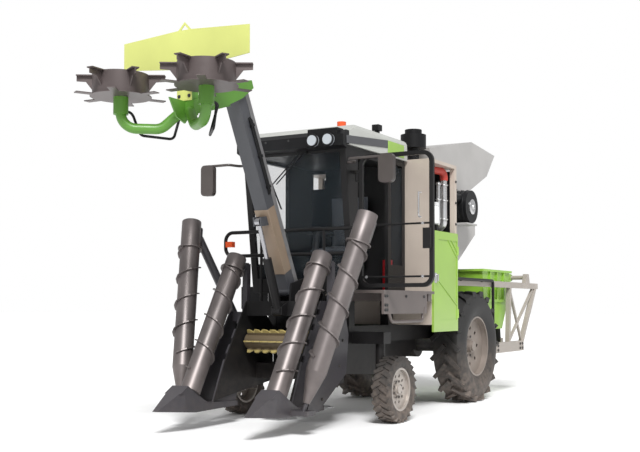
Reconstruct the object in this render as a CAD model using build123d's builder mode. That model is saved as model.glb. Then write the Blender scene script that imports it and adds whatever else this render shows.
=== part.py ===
from build123d import *
import math
import os

os.makedirs("parts", exist_ok=True)

# Sugarcane harvester: a wheeled one-row machine with a topper, spiral crop dividers,
# a cab, a trash extractor and a tipping cane bin.
# Sizes are millimetres. X runs forward from the front axle, Y left from the mid plane and
# Z up from the ground, and each finished piece is then moved to the part's own frame.

# Place of the front axle and the mid plane in the part's frame
FRAME_X = 1090
FRAME_Y = -180

# Fits
RUN = 0.3
GLASS = 6
SHEET = 8

# Wheels
WHEELBASE = 2460
REAR_TYRE_DIA = 1380
REAR_TYRE_WIDTH = 400
REAR_RIM_DIA = 740
REAR_TRACK = 1460
REAR_STUB_DIA = 90
REAR_LUG = 42
AXLE_DROP = 110
FRONT_TYRE_DIA = 680
FRONT_TYRE_WIDTH = 200
FRONT_RIM_DIA = 440
FRONT_TRACK = 1900
FRONT_STUB_DIA = 56
FRONT_LUG = 14

# Chassis rails
RAIL_IN = 400
RAIL_OUT = 500
RAIL_HEIGHT = 180
RAIL_FRONT = 150
RAIL_REAR = -3300
CROSS_HEIGHT = 100
CROSS_LENGTH = 120

# Steered front legs
KINGPIN_SET = 160
KINGPIN_DIA = 50
KNUCKLE_DIA = 96
KNUCKLE_LOW = 285
KNUCKLE_TOP = 525
LEG_HEIGHT = 120
LEG_HALF_LENGTH = 80

# Throat between the crop dividers
WALL_Y = 430
WALL_THICK = 15
BEAM_REAR = 430
BEAM_FRONT = 640
BEAM_LOW = 1090
BEAM_TOP = 1240
ROLLER_X = 640
ROLLER_Z = 830
ROLLER_CORE_DIA = 150
ROLLER_DIA = 270
ROLLER_SHAFT_DIA = 50
CUTTER_X = 360
CUTTER_Y = 210
CUTTER_DIA = 400
CUTTER_Z = 150
CUTTER_BOX_LOW = 440
CUTTER_BOX_TOP = 600
CUTTER_SHAFT_DIA = 70

# Scrolls: foot and top of each axis, and the tube with its flight
SCROLL_DIA = 200
FLIGHT_DIA = 250
FLIGHT_TURNS = 4
FLIGHT_THICK = 14
FLIGHT_ROOT = 6
FLIGHT_STEPS = 14
SCROLL_PIN_DIA = 40
INNER_FOOT = (1500, 490, 365)
INNER_TOP = (704, 512, 1690)
OUTER_FOOT = (1350, 722, 300)
OUTER_TOP = (764, 1051, 2073)
OUTER_CONE = 300
SHOE_TIP = (1993, 220)

# Topper boom
BOOM_FOOT = (560, 1360)
BOOM_HEAD = (1500, 3220)
BOOM_WIDTH = 150
BOOM_DEPTH = 130
LINK_OFFSET = (-150, 70)
LINK_DEPTH = 60
BOOM_PIN_DIA = 45
LIFT_FOOT = (705, 1140)
LIFT_EYE = (1060, 2010)
LIFT_BARREL_DIA = 90
LIFT_ROD_DIA = 45

# Topper head
DRUM_X = 2515
DRUM_Y = 464
DRUM_DIA = 490
DRUM_LOW = 3020
DRUM_TOP = 3205
PADDLE_DIA = 770
KNIFE_DIA = 800
ARM_DIA = 90
SHIELD_X = 2216
SHIELD_HALF = 690
SHIELD_LOW = 3330
SHIELD_TOP = 3615
LOOP_HALF = 70
LOOP_RISE = 70

# Cab
CAB_HALF = 620
CAB_WALL = 40
CAB_LOW = 1330
HEADER = 70
CAB_FRONT_LOW = 250
CAB_FRONT_TOP = 445
CAB_REAR = -940
SILL = 1480
LINTEL = 2750
DOOR_HINGE_X = 300
DOOR_HINGE_Y = 680
DOOR_REACH = 850
DOOR_LOW = 1375
DOOR_GAP = 35
DOOR_TUBE = 40
DOOR_REAR = -520
DOOR_KNUCKLE = 36
DOOR_PIN = 16
DOOR_STILE_GAP = 30
ROOF_RISE = 235
VISOR_FRONT = 525

# Engine bay behind the cab
BAY_FRONT = -970
BAY_REAR = -1700
BAY_HALF = 930
BAY_RISE = 20
BAY_POST = 60
PANEL_LOW = 900
PANEL_TOP = 2035

# Extractor
FAN_X = -2320
FAN_DIA = 1040
FAN_LOW = 2250
FAN_TOP = 2620
HOPPER_HALF = 600
HOPPER_FRONT = -1760
HOPPER_REAR = -3110

# Cane bin and the frame that carries it
BIN_HALF = 680
BIN_TOP = 1680
BIN_LEDGE = 1260
BIN_LOW = 880
BIN_FRONT = -3160
BIN_REAR = -4200
CARRIER_IN = 740
CARRIER_OUT = 800
TIP_X = -4650
TIP_Z = 1600
TIP_TUBE_DIA = 60
TIP_FOOT = (-4420, 690)
TIP_EYE = (-4300, 1450)
TIP_BARREL_DIA = 80
TIP_ROD_DIA = 45
TIP_CYLINDER_Y = 430

# Derived places
REAR_AXLE_X = -WHEELBASE
REAR_AXLE_Z = REAR_TYRE_DIA / 2
FRONT_AXLE_Z = FRONT_TYRE_DIA / 2
WHEEL_Y = FRONT_TRACK / 2
REAR_WHEEL_Y = REAR_TRACK / 2
KINGPIN_Y = WHEEL_Y - KINGPIN_SET
RAIL_LOW = REAR_AXLE_Z + AXLE_DROP
CARRIER_LOW = RAIL_LOW - 240
RAIL_TOP = RAIL_LOW + RAIL_HEIGHT
LEG_LOW = RAIL_LOW
LEG_TOP = LEG_LOW + LEG_HEIGHT
CAB_TOP = LINTEL + HEADER
ROOF_TOP = CAB_TOP + ROOF_RISE
BAY_TOP = CAB_TOP + BAY_RISE
DOOR_TOP = LINTEL - DOOR_GAP

SIDES = (("left", 1), ("right", -1))


def finish(piece, label):
    """Moves a finished piece to the part's frame, labels it and writes it."""
    placed = piece.part.moved(Location((FRAME_X, FRAME_Y, 0)))
    placed.label = label
    export_step(placed, f"parts/{label}.step")


def span(side, near, far):
    """Both side distances of a thing between near and far on one side, lowest first."""
    return sorted((side * near, side * far))


def block(x_range, y_range, z_range, mode=Mode.ADD):
    """Adds or cuts a box between the given limits."""
    sizes = [high - low for low, high in (x_range, y_range, z_range)]
    middle = [(low + high) / 2 for low, high in (x_range, y_range, z_range)]
    with Locations(tuple(middle)):
        Box(*sizes, mode=mode)


def slab(points, y_low, y_high, mode=Mode.ADD):
    """Adds or cuts a plate of the given side outline between two side distances."""
    with BuildSketch(Plane.XZ.offset(-y_high)) as outline:
        with BuildLine():
            Polyline(*points, close=True)
        make_face()
    extrude(outline.sketch, amount=y_high - y_low, mode=mode)


def plan(points, z_low, z_high, mode=Mode.ADD):
    """Adds or cuts a plate of the given outline from above between two heights."""
    with BuildSketch(Plane.XY.offset(z_low)) as outline:
        with BuildLine():
            Polyline(*points, close=True)
        make_face()
    extrude(outline.sketch, amount=z_high - z_low, mode=mode)


def bar(start, end, dia, mode=Mode.ADD):
    """Adds or cuts a round bar between two points."""
    axis = Vector(*end) - Vector(*start)
    with BuildSketch(Plane(origin=start, z_dir=axis)) as section:
        Circle(dia / 2)
    extrude(section.sketch, amount=axis.length, mode=mode)


def pipe(points, bend, dia):
    """Adds a bent round tube through the given corner points."""
    with BuildLine() as route:
        FilletPolyline(*points, radius=bend)
    with BuildSketch(route.line ^ 0) as section:
        Circle(dia / 2)
    sweep(section.sketch, path=route.line)


def beam(start, end, depth, y_low, y_high):
    """Adds a straight box beam between two points of a side view."""
    run = Vector(end[0] - start[0], end[1] - start[1])
    across = Vector(-run.Y, run.X).normalized() * (depth / 2)
    corners = [
        (start[0] + across.X, start[1] + across.Y),
        (end[0] + across.X, end[1] + across.Y),
        (end[0] - across.X, end[1] - across.Y),
        (start[0] - across.X, start[1] - across.Y),
    ]
    slab(corners, y_low, y_high)


def cross_pin(place, dia, y_low, y_high, mode=Mode.ADD):
    """Adds or cuts a pin across the machine at a point of the side view."""
    bar((place[0], y_low, place[1]), (place[0], y_high, place[1]), dia, mode)


def flight(foot, head, low, high, hand):
    """Adds a spiral flight round the axis from foot to head, between two distances from the foot.
    Its whole number of turns keeps the scroll's weight on the axis."""
    base = Plane(origin=foot, z_dir=Vector(*head) - Vector(*foot))
    middle = (SCROLL_DIA / 2 - FLIGHT_ROOT + FLIGHT_DIA / 2) / 2
    depth = FLIGHT_DIA / 2 - SCROLL_DIA / 2 + FLIGHT_ROOT
    count = FLIGHT_TURNS * FLIGHT_STEPS
    sections = []
    for step in range(count + 1):
        turn = hand * 2 * math.pi * step / FLIGHT_STEPS
        out = base.x_dir * math.cos(turn) + base.y_dir * math.sin(turn)
        place = base.origin + base.z_dir * (low + (high - low) * step / count) + out * middle
        with BuildSketch(Plane(origin=place, x_dir=out, z_dir=base.z_dir.cross(out) * hand)) as section:
            Rectangle(depth, FLIGHT_THICK)
        sections.append(section.sketch.face())
    loft(sections, ruled=True)


# Wheels
WHEELS = [
    # place, x, track, tyre dia, width, rim dia, stub dia, lug height,
    # lugs in a row, lug width, lean, holes, hole dia
    ("front", 0, FRONT_TRACK, FRONT_TYRE_DIA, FRONT_TYRE_WIDTH, FRONT_RIM_DIA, FRONT_STUB_DIA,
     FRONT_LUG, 26, 42, 30, 10, 36),
    ("rear", REAR_AXLE_X, REAR_TRACK, REAR_TYRE_DIA, REAR_TYRE_WIDTH, REAR_RIM_DIA, REAR_STUB_DIA,
     REAR_LUG, 18, 48, 45, 8, 46),
]
RIM_WALL = 14
DISC_THICK = 12
HUB_WALL = 32
CAP_THICK = 20
LUG_ROOT = 36

for wheel in WHEELS:
    place, x, track, tyre_dia, width, rim_dia, stub_dia, lug, lugs, lug_width, lean, holes, hole_dia = wheel
    rim_r = rim_dia / 2
    tread_r = tyre_dia / 2
    carcass_r = tread_r - lug
    half = width / 2
    bead = half * 0.78
    shoulder = half * 0.88
    shoulder_r = rim_r + (carcass_r - rim_r) * 0.86
    bulge_r = rim_r + (carcass_r - rim_r) * 0.45
    lug_length = shoulder / math.cos(math.radians(lean))
    lug_sweep = (lug_length * math.sin(math.radians(lean)) + lug_width * math.cos(math.radians(lean))) / 2
    lug_top = math.sqrt(tread_r**2 - lug_sweep**2)
    lug_height = lug_top - carcass_r + LUG_ROOT
    for name, side in SIDES:
        centre = (x, side * track / 2, tread_r)
        axle = Axis(centre, (0, 1, 0))
        section_plane = Plane(origin=centre, x_dir=(0, 1, 0), z_dir=(1, 0, 0))
        seats = []
        for row in (1, -1):
            for step in range(lugs):
                turn = 2 * math.pi * (step + 0.25 * row) / lugs
                out = Vector(math.cos(turn), 0, math.sin(turn))
                round_way = Vector(-math.sin(turn), 0, math.cos(turn))
                reach = out * (lug_top - lug_height / 2) + Vector(0, row * shoulder / 2, 0)
                across = Vector(0, row, 0) * math.cos(math.radians(lean))
                way = across - round_way * math.sin(math.radians(lean))
                seats.append(Location(Plane(origin=Vector(*centre) + reach, x_dir=way, z_dir=out)))

        with BuildPart() as tyre:
            with BuildSketch(section_plane):
                with BuildLine():
                    ThreePointArc((-bead, rim_r), (-half, bulge_r), (-shoulder, shoulder_r))
                    Polyline(
                        (-shoulder, shoulder_r),
                        (-shoulder * 0.85, carcass_r),
                        (shoulder * 0.85, carcass_r),
                        (shoulder, shoulder_r),
                    )
                    ThreePointArc((shoulder, shoulder_r), (half, bulge_r), (bead, rim_r))
                    Line((bead, rim_r), (-bead, rim_r))
                make_face()
            revolve(axis=axle)
            with Locations(*seats):
                Box(lug_length, lug_width, lug_height)
        finish(tyre, f"tyre_{place}_{name}")

        bore_r = stub_dia / 2 + RUN
        hub_r = bore_r + HUB_WALL
        disc_rim = side * half * 0.35
        disc_hub = side * half * 0.1
        hub_half = half * 0.35
        hub_face = centre[1] + disc_hub + side * hub_half
        hole_r = (rim_r + hub_r) / 2
        with BuildPart() as rim:
            with BuildSketch(section_plane):
                with Locations((0, rim_r - RIM_WALL / 2)):
                    Rectangle(2 * bead, RIM_WALL)
                for edge in (-1, 1):
                    with Locations((edge * (bead - RIM_WALL / 2), rim_r - RIM_WALL)):
                        Rectangle(RIM_WALL, RIM_WALL)
                with BuildLine():
                    Polyline(
                        (disc_rim, rim_r - RIM_WALL / 2),
                        (disc_hub, hub_r),
                        (disc_hub, bore_r + HUB_WALL / 2),
                        (disc_hub + side * DISC_THICK, bore_r + HUB_WALL / 2),
                        (disc_hub + side * DISC_THICK, hub_r),
                        (disc_rim + side * DISC_THICK, rim_r - RIM_WALL / 2),
                        close=True,
                    )
                make_face()
                with Locations((disc_hub, bore_r + HUB_WALL / 2)):
                    Rectangle(2 * hub_half, HUB_WALL)
            revolve(axis=axle)
            bar((x, hub_face, tread_r), (x, hub_face + side * CAP_THICK, tread_r), 2 * bore_r + HUB_WALL)
            for step in range(holes):
                turn = 2 * math.pi * step / holes
                hole = (x + hole_r * math.cos(turn), tread_r + hole_r * math.sin(turn))
                cross_pin(hole, hole_dia, centre[1] - half, centre[1] + half, Mode.SUBTRACT)
        finish(rim, f"rim_{place}_{name}")

# Chassis
with BuildPart() as chassis_frame:
    for _, side in SIDES:
        block((RAIL_REAR, RAIL_FRONT), span(side, RAIL_IN, RAIL_OUT), (RAIL_LOW, RAIL_TOP))
        for post_x in (CAB_FRONT_LOW - 170, CAB_REAR + 120):
            block(
                (post_x - CROSS_LENGTH / 2, post_x + CROSS_LENGTH / 2),
                span(side, RAIL_IN, RAIL_OUT),
                (RAIL_TOP, CAB_LOW),
            )
    for cross_x in (RAIL_FRONT - CROSS_LENGTH / 2, BAY_FRONT, BAY_REAR, RAIL_REAR + CROSS_LENGTH / 2):
        block(
            (cross_x - CROSS_LENGTH / 2, cross_x + CROSS_LENGTH / 2),
            (-RAIL_IN, RAIL_IN),
            (RAIL_LOW, RAIL_LOW + CROSS_HEIGHT),
        )
finish(chassis_frame, "chassis_frame")

FEED_LOW = 420
FEED_HALF = RAIL_IN - 15
with BuildPart() as feed_casing:
    slab(
        [
            (RAIL_FRONT - 40, FEED_LOW + 60),
            (RAIL_FRONT - 40, RAIL_LOW),
            (BAY_REAR, RAIL_LOW),
            (BAY_REAR, RAIL_LOW - 120),
            (BAY_FRONT, FEED_LOW),
        ],
        -FEED_HALF,
        FEED_HALF,
    )
finish(feed_casing, "feed_casing")

AXLE_DIA = 150
AXLE_PAD = 200
AXLE_DRUM = 120
AXLE_DRUM_DIA = 320
with BuildPart() as rear_axle:
    bar((REAR_AXLE_X, -RAIL_OUT, REAR_AXLE_Z), (REAR_AXLE_X, RAIL_OUT, REAR_AXLE_Z), AXLE_DIA)
    with BuildSketch(Plane.XZ.offset(-AXLE_DIA / 2)) as housing:
        with Locations((REAR_AXLE_X, REAR_AXLE_Z)):
            Circle(AXLE_DIA)
    extrude(housing.sketch, amount=AXLE_DIA)
    for _, side in SIDES:
        block(
            (REAR_AXLE_X - AXLE_PAD / 2, REAR_AXLE_X + AXLE_PAD / 2),
            span(side, RAIL_IN, RAIL_OUT),
            (REAR_AXLE_Z, RAIL_LOW),
        )
        bar(
            (REAR_AXLE_X, side * RAIL_IN, REAR_AXLE_Z),
            (REAR_AXLE_X, side * (REAR_WHEEL_Y + REAR_TYRE_WIDTH * 0.2), REAR_AXLE_Z),
            REAR_STUB_DIA,
        )
        bar(
            (REAR_AXLE_X, side * RAIL_OUT, REAR_AXLE_Z),
            (REAR_AXLE_X, side * (RAIL_OUT + AXLE_DRUM), REAR_AXLE_Z),
            AXLE_DRUM_DIA,
        )
finish(rear_axle, "rear_axle")

with BuildPart() as front_legs:
    for _, side in SIDES:
        block(
            (-LEG_HALF_LENGTH, LEG_HALF_LENGTH),
            span(side, RAIL_OUT, KINGPIN_Y + LEG_HALF_LENGTH),
            (LEG_LOW, LEG_TOP),
        )
        bar((0, side * KINGPIN_Y, KNUCKLE_TOP + RUN), (0, side * KINGPIN_Y, LEG_LOW + 10), KNUCKLE_DIA)
        bar(
            (0, side * KINGPIN_Y, KNUCKLE_TOP + RUN),
            (0, side * KINGPIN_Y, LEG_LOW - 20),
            KINGPIN_DIA + 2 * RUN,
            Mode.SUBTRACT,
        )
finish(front_legs, "front_legs")

for name, side in SIDES:
    with BuildPart() as knuckle:
        bar((0, side * KINGPIN_Y, KNUCKLE_LOW), (0, side * KINGPIN_Y, KNUCKLE_TOP), KNUCKLE_DIA)
        bar((0, side * KINGPIN_Y, KNUCKLE_TOP), (0, side * KINGPIN_Y, LEG_LOW - 40), KINGPIN_DIA)
        bar(
            (0, side * KINGPIN_Y, FRONT_AXLE_Z),
            (0, side * (WHEEL_Y + FRONT_TYRE_WIDTH * 0.2), FRONT_AXLE_Z),
            FRONT_STUB_DIA,
        )
        block((-190, 0), span(side, KINGPIN_Y - 30, KINGPIN_Y + 20), (KNUCKLE_TOP - 50, KNUCKLE_TOP - 20))
    finish(knuckle, f"knuckle_{name}")

# Throat frame: two walls, a beam over them, the cutter box and the boom's brackets
BRACKET_IN = BOOM_WIDTH / 2 + 5
BRACKET_OUT = BRACKET_IN + 20
link_foot = (BOOM_FOOT[0] + LINK_OFFSET[0], BOOM_FOOT[1] + LINK_OFFSET[1])
link_head = (BOOM_HEAD[0] + LINK_OFFSET[0], BOOM_HEAD[1] + LINK_OFFSET[1])
with BuildPart() as throat_frame:
    for _, side in SIDES:
        slab(
            [
                (1190, 260),
                (RAIL_FRONT, 400),
                (RAIL_FRONT, RAIL_TOP),
                (BEAM_REAR, BEAM_TOP),
                (BEAM_FRONT, BEAM_TOP),
                (1010, 640),
            ],
            *span(side, WALL_Y, WALL_Y + WALL_THICK),
        )
        slab(
            [
                (BEAM_REAR - 60, BEAM_TOP - 20),
                (link_foot[0] - 50, link_foot[1] + 50),
                (BOOM_FOOT[0] + 50, BOOM_FOOT[1] + 60),
                (BEAM_FRONT, BEAM_TOP - 20),
            ],
            *span(side, BRACKET_IN, BRACKET_OUT),
        )
        slab(
            [
                (BEAM_FRONT - 10, BEAM_LOW),
                (BEAM_FRONT - 10, BEAM_TOP - 10),
                (LIFT_FOOT[0] + 40, LIFT_FOOT[1] + 40),
                (LIFT_FOOT[0] + 40, LIFT_FOOT[1] - 40),
            ],
            *span(side, LIFT_BARREL_DIA / 2 + 5, LIFT_BARREL_DIA / 2 + 20),
        )
    block((BEAM_REAR, BEAM_FRONT), (-WALL_Y, WALL_Y), (BEAM_LOW, BEAM_TOP))
    block((CUTTER_X - 110, CUTTER_X + 110), (-WALL_Y, WALL_Y), (CUTTER_BOX_LOW, CUTTER_BOX_TOP))
    shaft_end = WALL_Y + WALL_THICK
    cross_pin((ROLLER_X, ROLLER_Z), ROLLER_SHAFT_DIA + 2 * RUN, -shaft_end, shaft_end, Mode.SUBTRACT)
    for place in (BOOM_FOOT, link_foot):
        cross_pin(place, BOOM_PIN_DIA, -BRACKET_OUT, BRACKET_OUT)
    cross_pin(LIFT_FOOT, LIFT_ROD_DIA, -LIFT_BARREL_DIA / 2 - 20, LIFT_BARREL_DIA / 2 + 20)
    for _, side in SIDES:
        bar(
            (CUTTER_X, side * CUTTER_Y, CUTTER_BOX_LOW - 1),
            (CUTTER_X, side * CUTTER_Y, CUTTER_BOX_TOP - 40),
            CUTTER_SHAFT_DIA + 2 * RUN,
            Mode.SUBTRACT,
        )
finish(throat_frame, "throat_frame")

TOOTH_PITCH = 90
TOOTH_DEPTH = 32
BAR_THICK = 14
BARS = 6
roller_half = WALL_Y - 30
teeth = int(2 * roller_half / TOOTH_PITCH)
tooth_edge = [(-roller_half, 0)]
for step in range(teeth):
    start = -roller_half + step * 2 * roller_half / teeth
    tooth_edge.append((start + TOOTH_PITCH * 0.25, ROLLER_DIA / 2))
    tooth_edge.append((start + TOOTH_PITCH * 0.6, ROLLER_DIA / 2))
    tooth_edge.append((start + 2 * roller_half / teeth, ROLLER_DIA / 2 - TOOTH_DEPTH))
tooth_edge.append((roller_half, 0))
with BuildPart() as roller:
    cross_pin((ROLLER_X, ROLLER_Z), ROLLER_SHAFT_DIA, -WALL_Y - WALL_THICK, WALL_Y + WALL_THICK)
    cross_pin((ROLLER_X, ROLLER_Z), ROLLER_CORE_DIA, -WALL_Y + 20, WALL_Y - 20)
    for step in range(BARS):
        turn = 2 * math.pi * step / BARS
        out = Vector(math.cos(turn), 0, math.sin(turn))
        facing = Vector(0, 1, 0).cross(out)
        bar_plane = Plane(origin=(ROLLER_X, 0, ROLLER_Z), x_dir=(0, 1, 0), z_dir=facing)
        with BuildSketch(bar_plane) as toothed:
            with BuildLine():
                Polyline(*tooth_edge, close=True)
            make_face()
        extrude(toothed.sketch, amount=BAR_THICK / 2, both=True)
finish(roller, "knockdown_roller")

for name, side in SIDES:
    with BuildPart() as cutter:
        hub = (CUTTER_X, side * CUTTER_Y)
        bar((*hub, CUTTER_Z), (*hub, CUTTER_BOX_TOP - 60), CUTTER_SHAFT_DIA)
        bar((*hub, CUTTER_Z), (*hub, CUTTER_Z + 12), CUTTER_DIA - 60)
        for step in range(6):
            turn = math.radians(60 * step + 30 * (side < 0))
            with Locations(
                Location(
                    (
                        CUTTER_X + (CUTTER_DIA / 2 - 45) * math.cos(turn),
                        side * CUTTER_Y + (CUTTER_DIA / 2 - 45) * math.sin(turn),
                        CUTTER_Z + 3,
                    ),
                    (0, 0, 60 * step + 30 * (side < 0)),
                )
            ):
                Box(90, 50, 6)
    finish(cutter, f"base_cutter_{name}")

# Crop dividers: shoe, walls, and the fixed caps that hold the scrolls' top ends
SHOE_HALF = 95
SHOE_MID_Y = 510
SHOE_HEEL = 820
INNER_CAP = 150
OUTER_CAP = 300
PIN_REACH = 60
CAP_GAP = 2
COLLAR = 16
MOTOR_LIFT = 15
MOTOR_SET = 75
SCROLL_MOTOR_DIA = 150
OUTER_PLATE_Y = 640
ARM_POST = 60
NOSE_LENGTH = 330
NOSE_HALF = 25
NOTCH_DIA = 70
NOTCHES = 4


def along(start, end, distance):
    """A point on the line from start to end, at a distance from start."""
    run = Vector(*end) - Vector(*start)
    return tuple(Vector(*start) + run.normalized() * distance)


def mirrored(point, side):
    """The same point on the given side of the mid plane."""
    return (point[0], side * point[1], point[2])


# The shoe's seat lies square to the inner scroll's axis in the side view
lean = Vector(INNER_TOP[0] - INNER_FOOT[0], INNER_TOP[2] - INNER_FOOT[2]).normalized()
seat = (INNER_FOOT[0] - lean.X * CAP_GAP, INNER_FOOT[2] - lean.Y * CAP_GAP)
seat_front = (seat[0] + lean.Y * 0.55 * FLIGHT_DIA, seat[1] - lean.X * 0.55 * FLIGHT_DIA)
seat_rear = (seat[0] - lean.Y * 0.55 * FLIGHT_DIA, seat[1] + lean.X * 0.55 * FLIGHT_DIA)

shoe_sole = [(SHOE_HEEL, 230), (SHOE_HEEL, 185), (1500, 175)]
wall_face = WALL_Y + WALL_THICK

for name, side in SIDES:
    inner_foot = mirrored(INNER_FOOT, side)
    inner_top = mirrored(INNER_TOP, side)
    outer_foot = mirrored(OUTER_FOOT, side)
    outer_top = mirrored(OUTER_TOP, side)
    inner_cap = along(inner_top, inner_foot, INNER_CAP)
    outer_cap = along(outer_top, outer_foot, OUTER_CAP)
    strut_low = (BEAM_FRONT - 90, side * OUTER_PLATE_Y, BEAM_LOW - 20)
    strut_top = (OUTER_TOP[0] - 75, side * (OUTER_TOP[1] - 40), OUTER_TOP[2] - 170)
    with BuildPart() as divider:
        slab(
            [SHOE_TIP, seat_front, seat_rear, (1300, 250), *shoe_sole],
            *span(side, SHOE_MID_Y - SHOE_HALF, SHOE_MID_Y + SHOE_HALF),
        )
        slab(
            [(1190, 240), (SHOE_HEEL, 220), (500, BEAM_LOW), (500, BEAM_TOP)]
            + [(BEAM_FRONT, BEAM_TOP), (1010, 640)],
            *span(side, WALL_Y + WALL_THICK, WALL_Y + WALL_THICK + 20),
        )
        for edge in (-1, 1):
            plan(
                [
                    (SHOE_TIP[0] - NOSE_LENGTH, side * SHOE_MID_Y + edge * SHOE_HALF),
                    (SHOE_TIP[0] + 5, side * SHOE_MID_Y + edge * NOSE_HALF),
                    (SHOE_TIP[0] + 5, side * SHOE_MID_Y + edge * (SHOE_HALF + 5)),
                    (SHOE_TIP[0] - NOSE_LENGTH, side * SHOE_MID_Y + edge * (SHOE_HALF + 5)),
                ],
                0,
                INNER_FOOT[2],
                Mode.SUBTRACT,
            )
        for step in range(NOTCHES):
            share = (step + 0.7) / NOTCHES
            notch = (BEAM_FRONT + (1010 - BEAM_FRONT) * share, BEAM_TOP + (640 - BEAM_TOP) * share)
            cross_pin(notch, NOTCH_DIA, *span(side, wall_face, wall_face + 25), Mode.SUBTRACT)
        block((1280, 1430), span(side, SHOE_MID_Y, OUTER_FOOT[1] + 60), (190, 235))
        slab(
            [(1230, 200), (1000, 200), (480, 520), (430, 900)]
            + [(500, BEAM_LOW + 40), (BEAM_FRONT, BEAM_LOW + 40)],
            *span(side, OUTER_PLATE_Y, OUTER_PLATE_Y + WALL_THICK),
        )
        block((1000, 1230), span(side, SHOE_MID_Y, OUTER_PLATE_Y + WALL_THICK), (190, 225))
        block((500, 600), span(side, WALL_Y + WALL_THICK, OUTER_PLATE_Y), (BEAM_LOW - 60, BEAM_LOW + 40))
        beam((540, BEAM_LOW), (530, INNER_TOP[2] - 60), ARM_POST, *span(side, 480, 540))
        block((530, 740), span(side, 480, 540), (INNER_TOP[2] - 110, INNER_TOP[2] - 50))
        bar(inner_cap, inner_top, SCROLL_DIA)
        bar(inner_cap, along(inner_cap, inner_foot, PIN_REACH), SCROLL_PIN_DIA)
        bar(along(inner_foot, inner_top, -60), along(inner_foot, inner_top, PIN_REACH), SCROLL_PIN_DIA)
        bar(strut_low, strut_top, 90)
        bar(strut_top, along(outer_top, outer_foot, OUTER_CAP / 2), 90)
        for cap, top in ((inner_cap, inner_top), (outer_cap, outer_top)):
            low = Vector(*along(cap, top, MOTOR_LIFT)) - Vector(MOTOR_SET, 0, 0)
            high = Vector(*along(top, cap, MOTOR_SET)) - Vector(MOTOR_SET, 0, 0)
            bar(tuple(low), tuple(high), SCROLL_MOTOR_DIA)
        bar(outer_cap, outer_top, SCROLL_DIA)
        bar(outer_cap, along(outer_cap, outer_foot, PIN_REACH), SCROLL_PIN_DIA)
        bar(along(outer_foot, outer_top, -90), along(outer_foot, outer_top, PIN_REACH), SCROLL_PIN_DIA)
    finish(divider, f"divider_{name}")

    scrolls = [
        # name, foot, lower end of the fixed cap, height of the foot's cone, plain length, hand
        ("inner", inner_foot, inner_cap, 0, 200, side),
        ("outer", outer_foot, outer_cap, OUTER_CONE, OUTER_CONE + 120, -side),
    ]
    for place, foot, cap, cone, plain, hand in scrolls:
        head = along(cap, foot, CAP_GAP)
        neck = along(foot, head, cone)
        with BuildPart() as scroll:
            bar(neck, head, SCROLL_DIA)
            bar(along(head, foot, COLLAR), head, FLIGHT_DIA)
            reach = (Vector(*head) - Vector(*foot)).length
            flight(foot, head, plain, reach - COLLAR - FLIGHT_THICK / 2 - 1, hand)
            if cone:
                with BuildSketch(Plane(origin=foot, z_dir=Vector(*head) - Vector(*foot))) as tip:
                    Circle(SCROLL_PIN_DIA / 2 + 12)
                with BuildSketch(Plane(origin=neck, z_dir=Vector(*head) - Vector(*foot))) as base:
                    Circle(SCROLL_DIA / 2)
                loft([tip.sketch.face(), base.sketch.face()])
            for end, other in ((foot, head), (head, foot)):
                bar(end, along(end, other, PIN_REACH + 5), SCROLL_PIN_DIA + 2 * RUN, Mode.SUBTRACT)
        finish(scroll, f"scroll_{place}_{name}")

# Topper boom with its parallel link and lift cylinder
LUG_IN = 32
LUG_OUT = 48
EYE_DIA = 80
PIVOT_DIA = 140
with BuildPart() as boom:
    beam(BOOM_FOOT, BOOM_HEAD, BOOM_DEPTH, -BOOM_WIDTH / 2, BOOM_WIDTH / 2)
    for place in (BOOM_FOOT, BOOM_HEAD):
        cross_pin(place, PIVOT_DIA, -BOOM_WIDTH / 2, BOOM_WIDTH / 2)
    for place in (BOOM_FOOT, BOOM_HEAD):
        cross_pin(place, BOOM_PIN_DIA + 2 * RUN, -BOOM_WIDTH / 2, BOOM_WIDTH / 2, Mode.SUBTRACT)
    for _, side in SIDES:
        lug_root = (LIFT_EYE[0] - 160, LIFT_EYE[1] + 30)
        beam(lug_root, (LIFT_EYE[0] + 30, LIFT_EYE[1]), 90, *span(side, LUG_IN, LUG_OUT))
finish(boom, "boom_arm")

with BuildPart() as link:
    beam(link_foot, link_head, LINK_DEPTH, -LINK_DEPTH / 2, LINK_DEPTH / 2)
    for place in (link_foot, link_head):
        cross_pin(place, LINK_DEPTH + 20, -LINK_DEPTH / 2, LINK_DEPTH / 2)
    for place in (link_foot, link_head):
        cross_pin(place, BOOM_PIN_DIA + 2 * RUN, -LINK_DEPTH / 2, LINK_DEPTH / 2, Mode.SUBTRACT)
finish(link, "boom_link")


def cylinder_points(foot, eye, *distances):
    """Points of a cylinder's axis in the side view, at distances from its foot."""
    run = Vector(eye[0] - foot[0], eye[1] - foot[1]).normalized()
    return [(foot[0] + run.X * step, foot[1] + run.Y * step) for step in distances]


def barrel(foot, eye, y, length, dia, rod_dia, pin_dia):
    """Adds a cylinder's barrel with its foot eye and the bore for its rod."""
    low, end = cylinder_points(foot, eye, 20, length)
    bore, past = cylinder_points(foot, eye, 80, length + 5)
    bar((low[0], y, low[1]), (end[0], y, end[1]), dia)
    cross_pin(foot, dia + 12, y - dia / 2, y + dia / 2)
    cross_pin(foot, pin_dia + 2 * RUN, y - dia / 2, y + dia / 2, Mode.SUBTRACT)
    bar((bore[0], y, bore[1]), (past[0], y, past[1]), rod_dia + 2 * RUN, Mode.SUBTRACT)


def rod(foot, eye, y, inner_end, dia):
    """Adds a cylinder's rod with the eye at its end."""
    (start,) = cylinder_points(foot, eye, inner_end)
    bar((start[0], y, start[1]), (eye[0], y, eye[1]), dia)
    cross_pin(eye, EYE_DIA, y - LUG_IN + 5, y + LUG_IN - 5)


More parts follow.
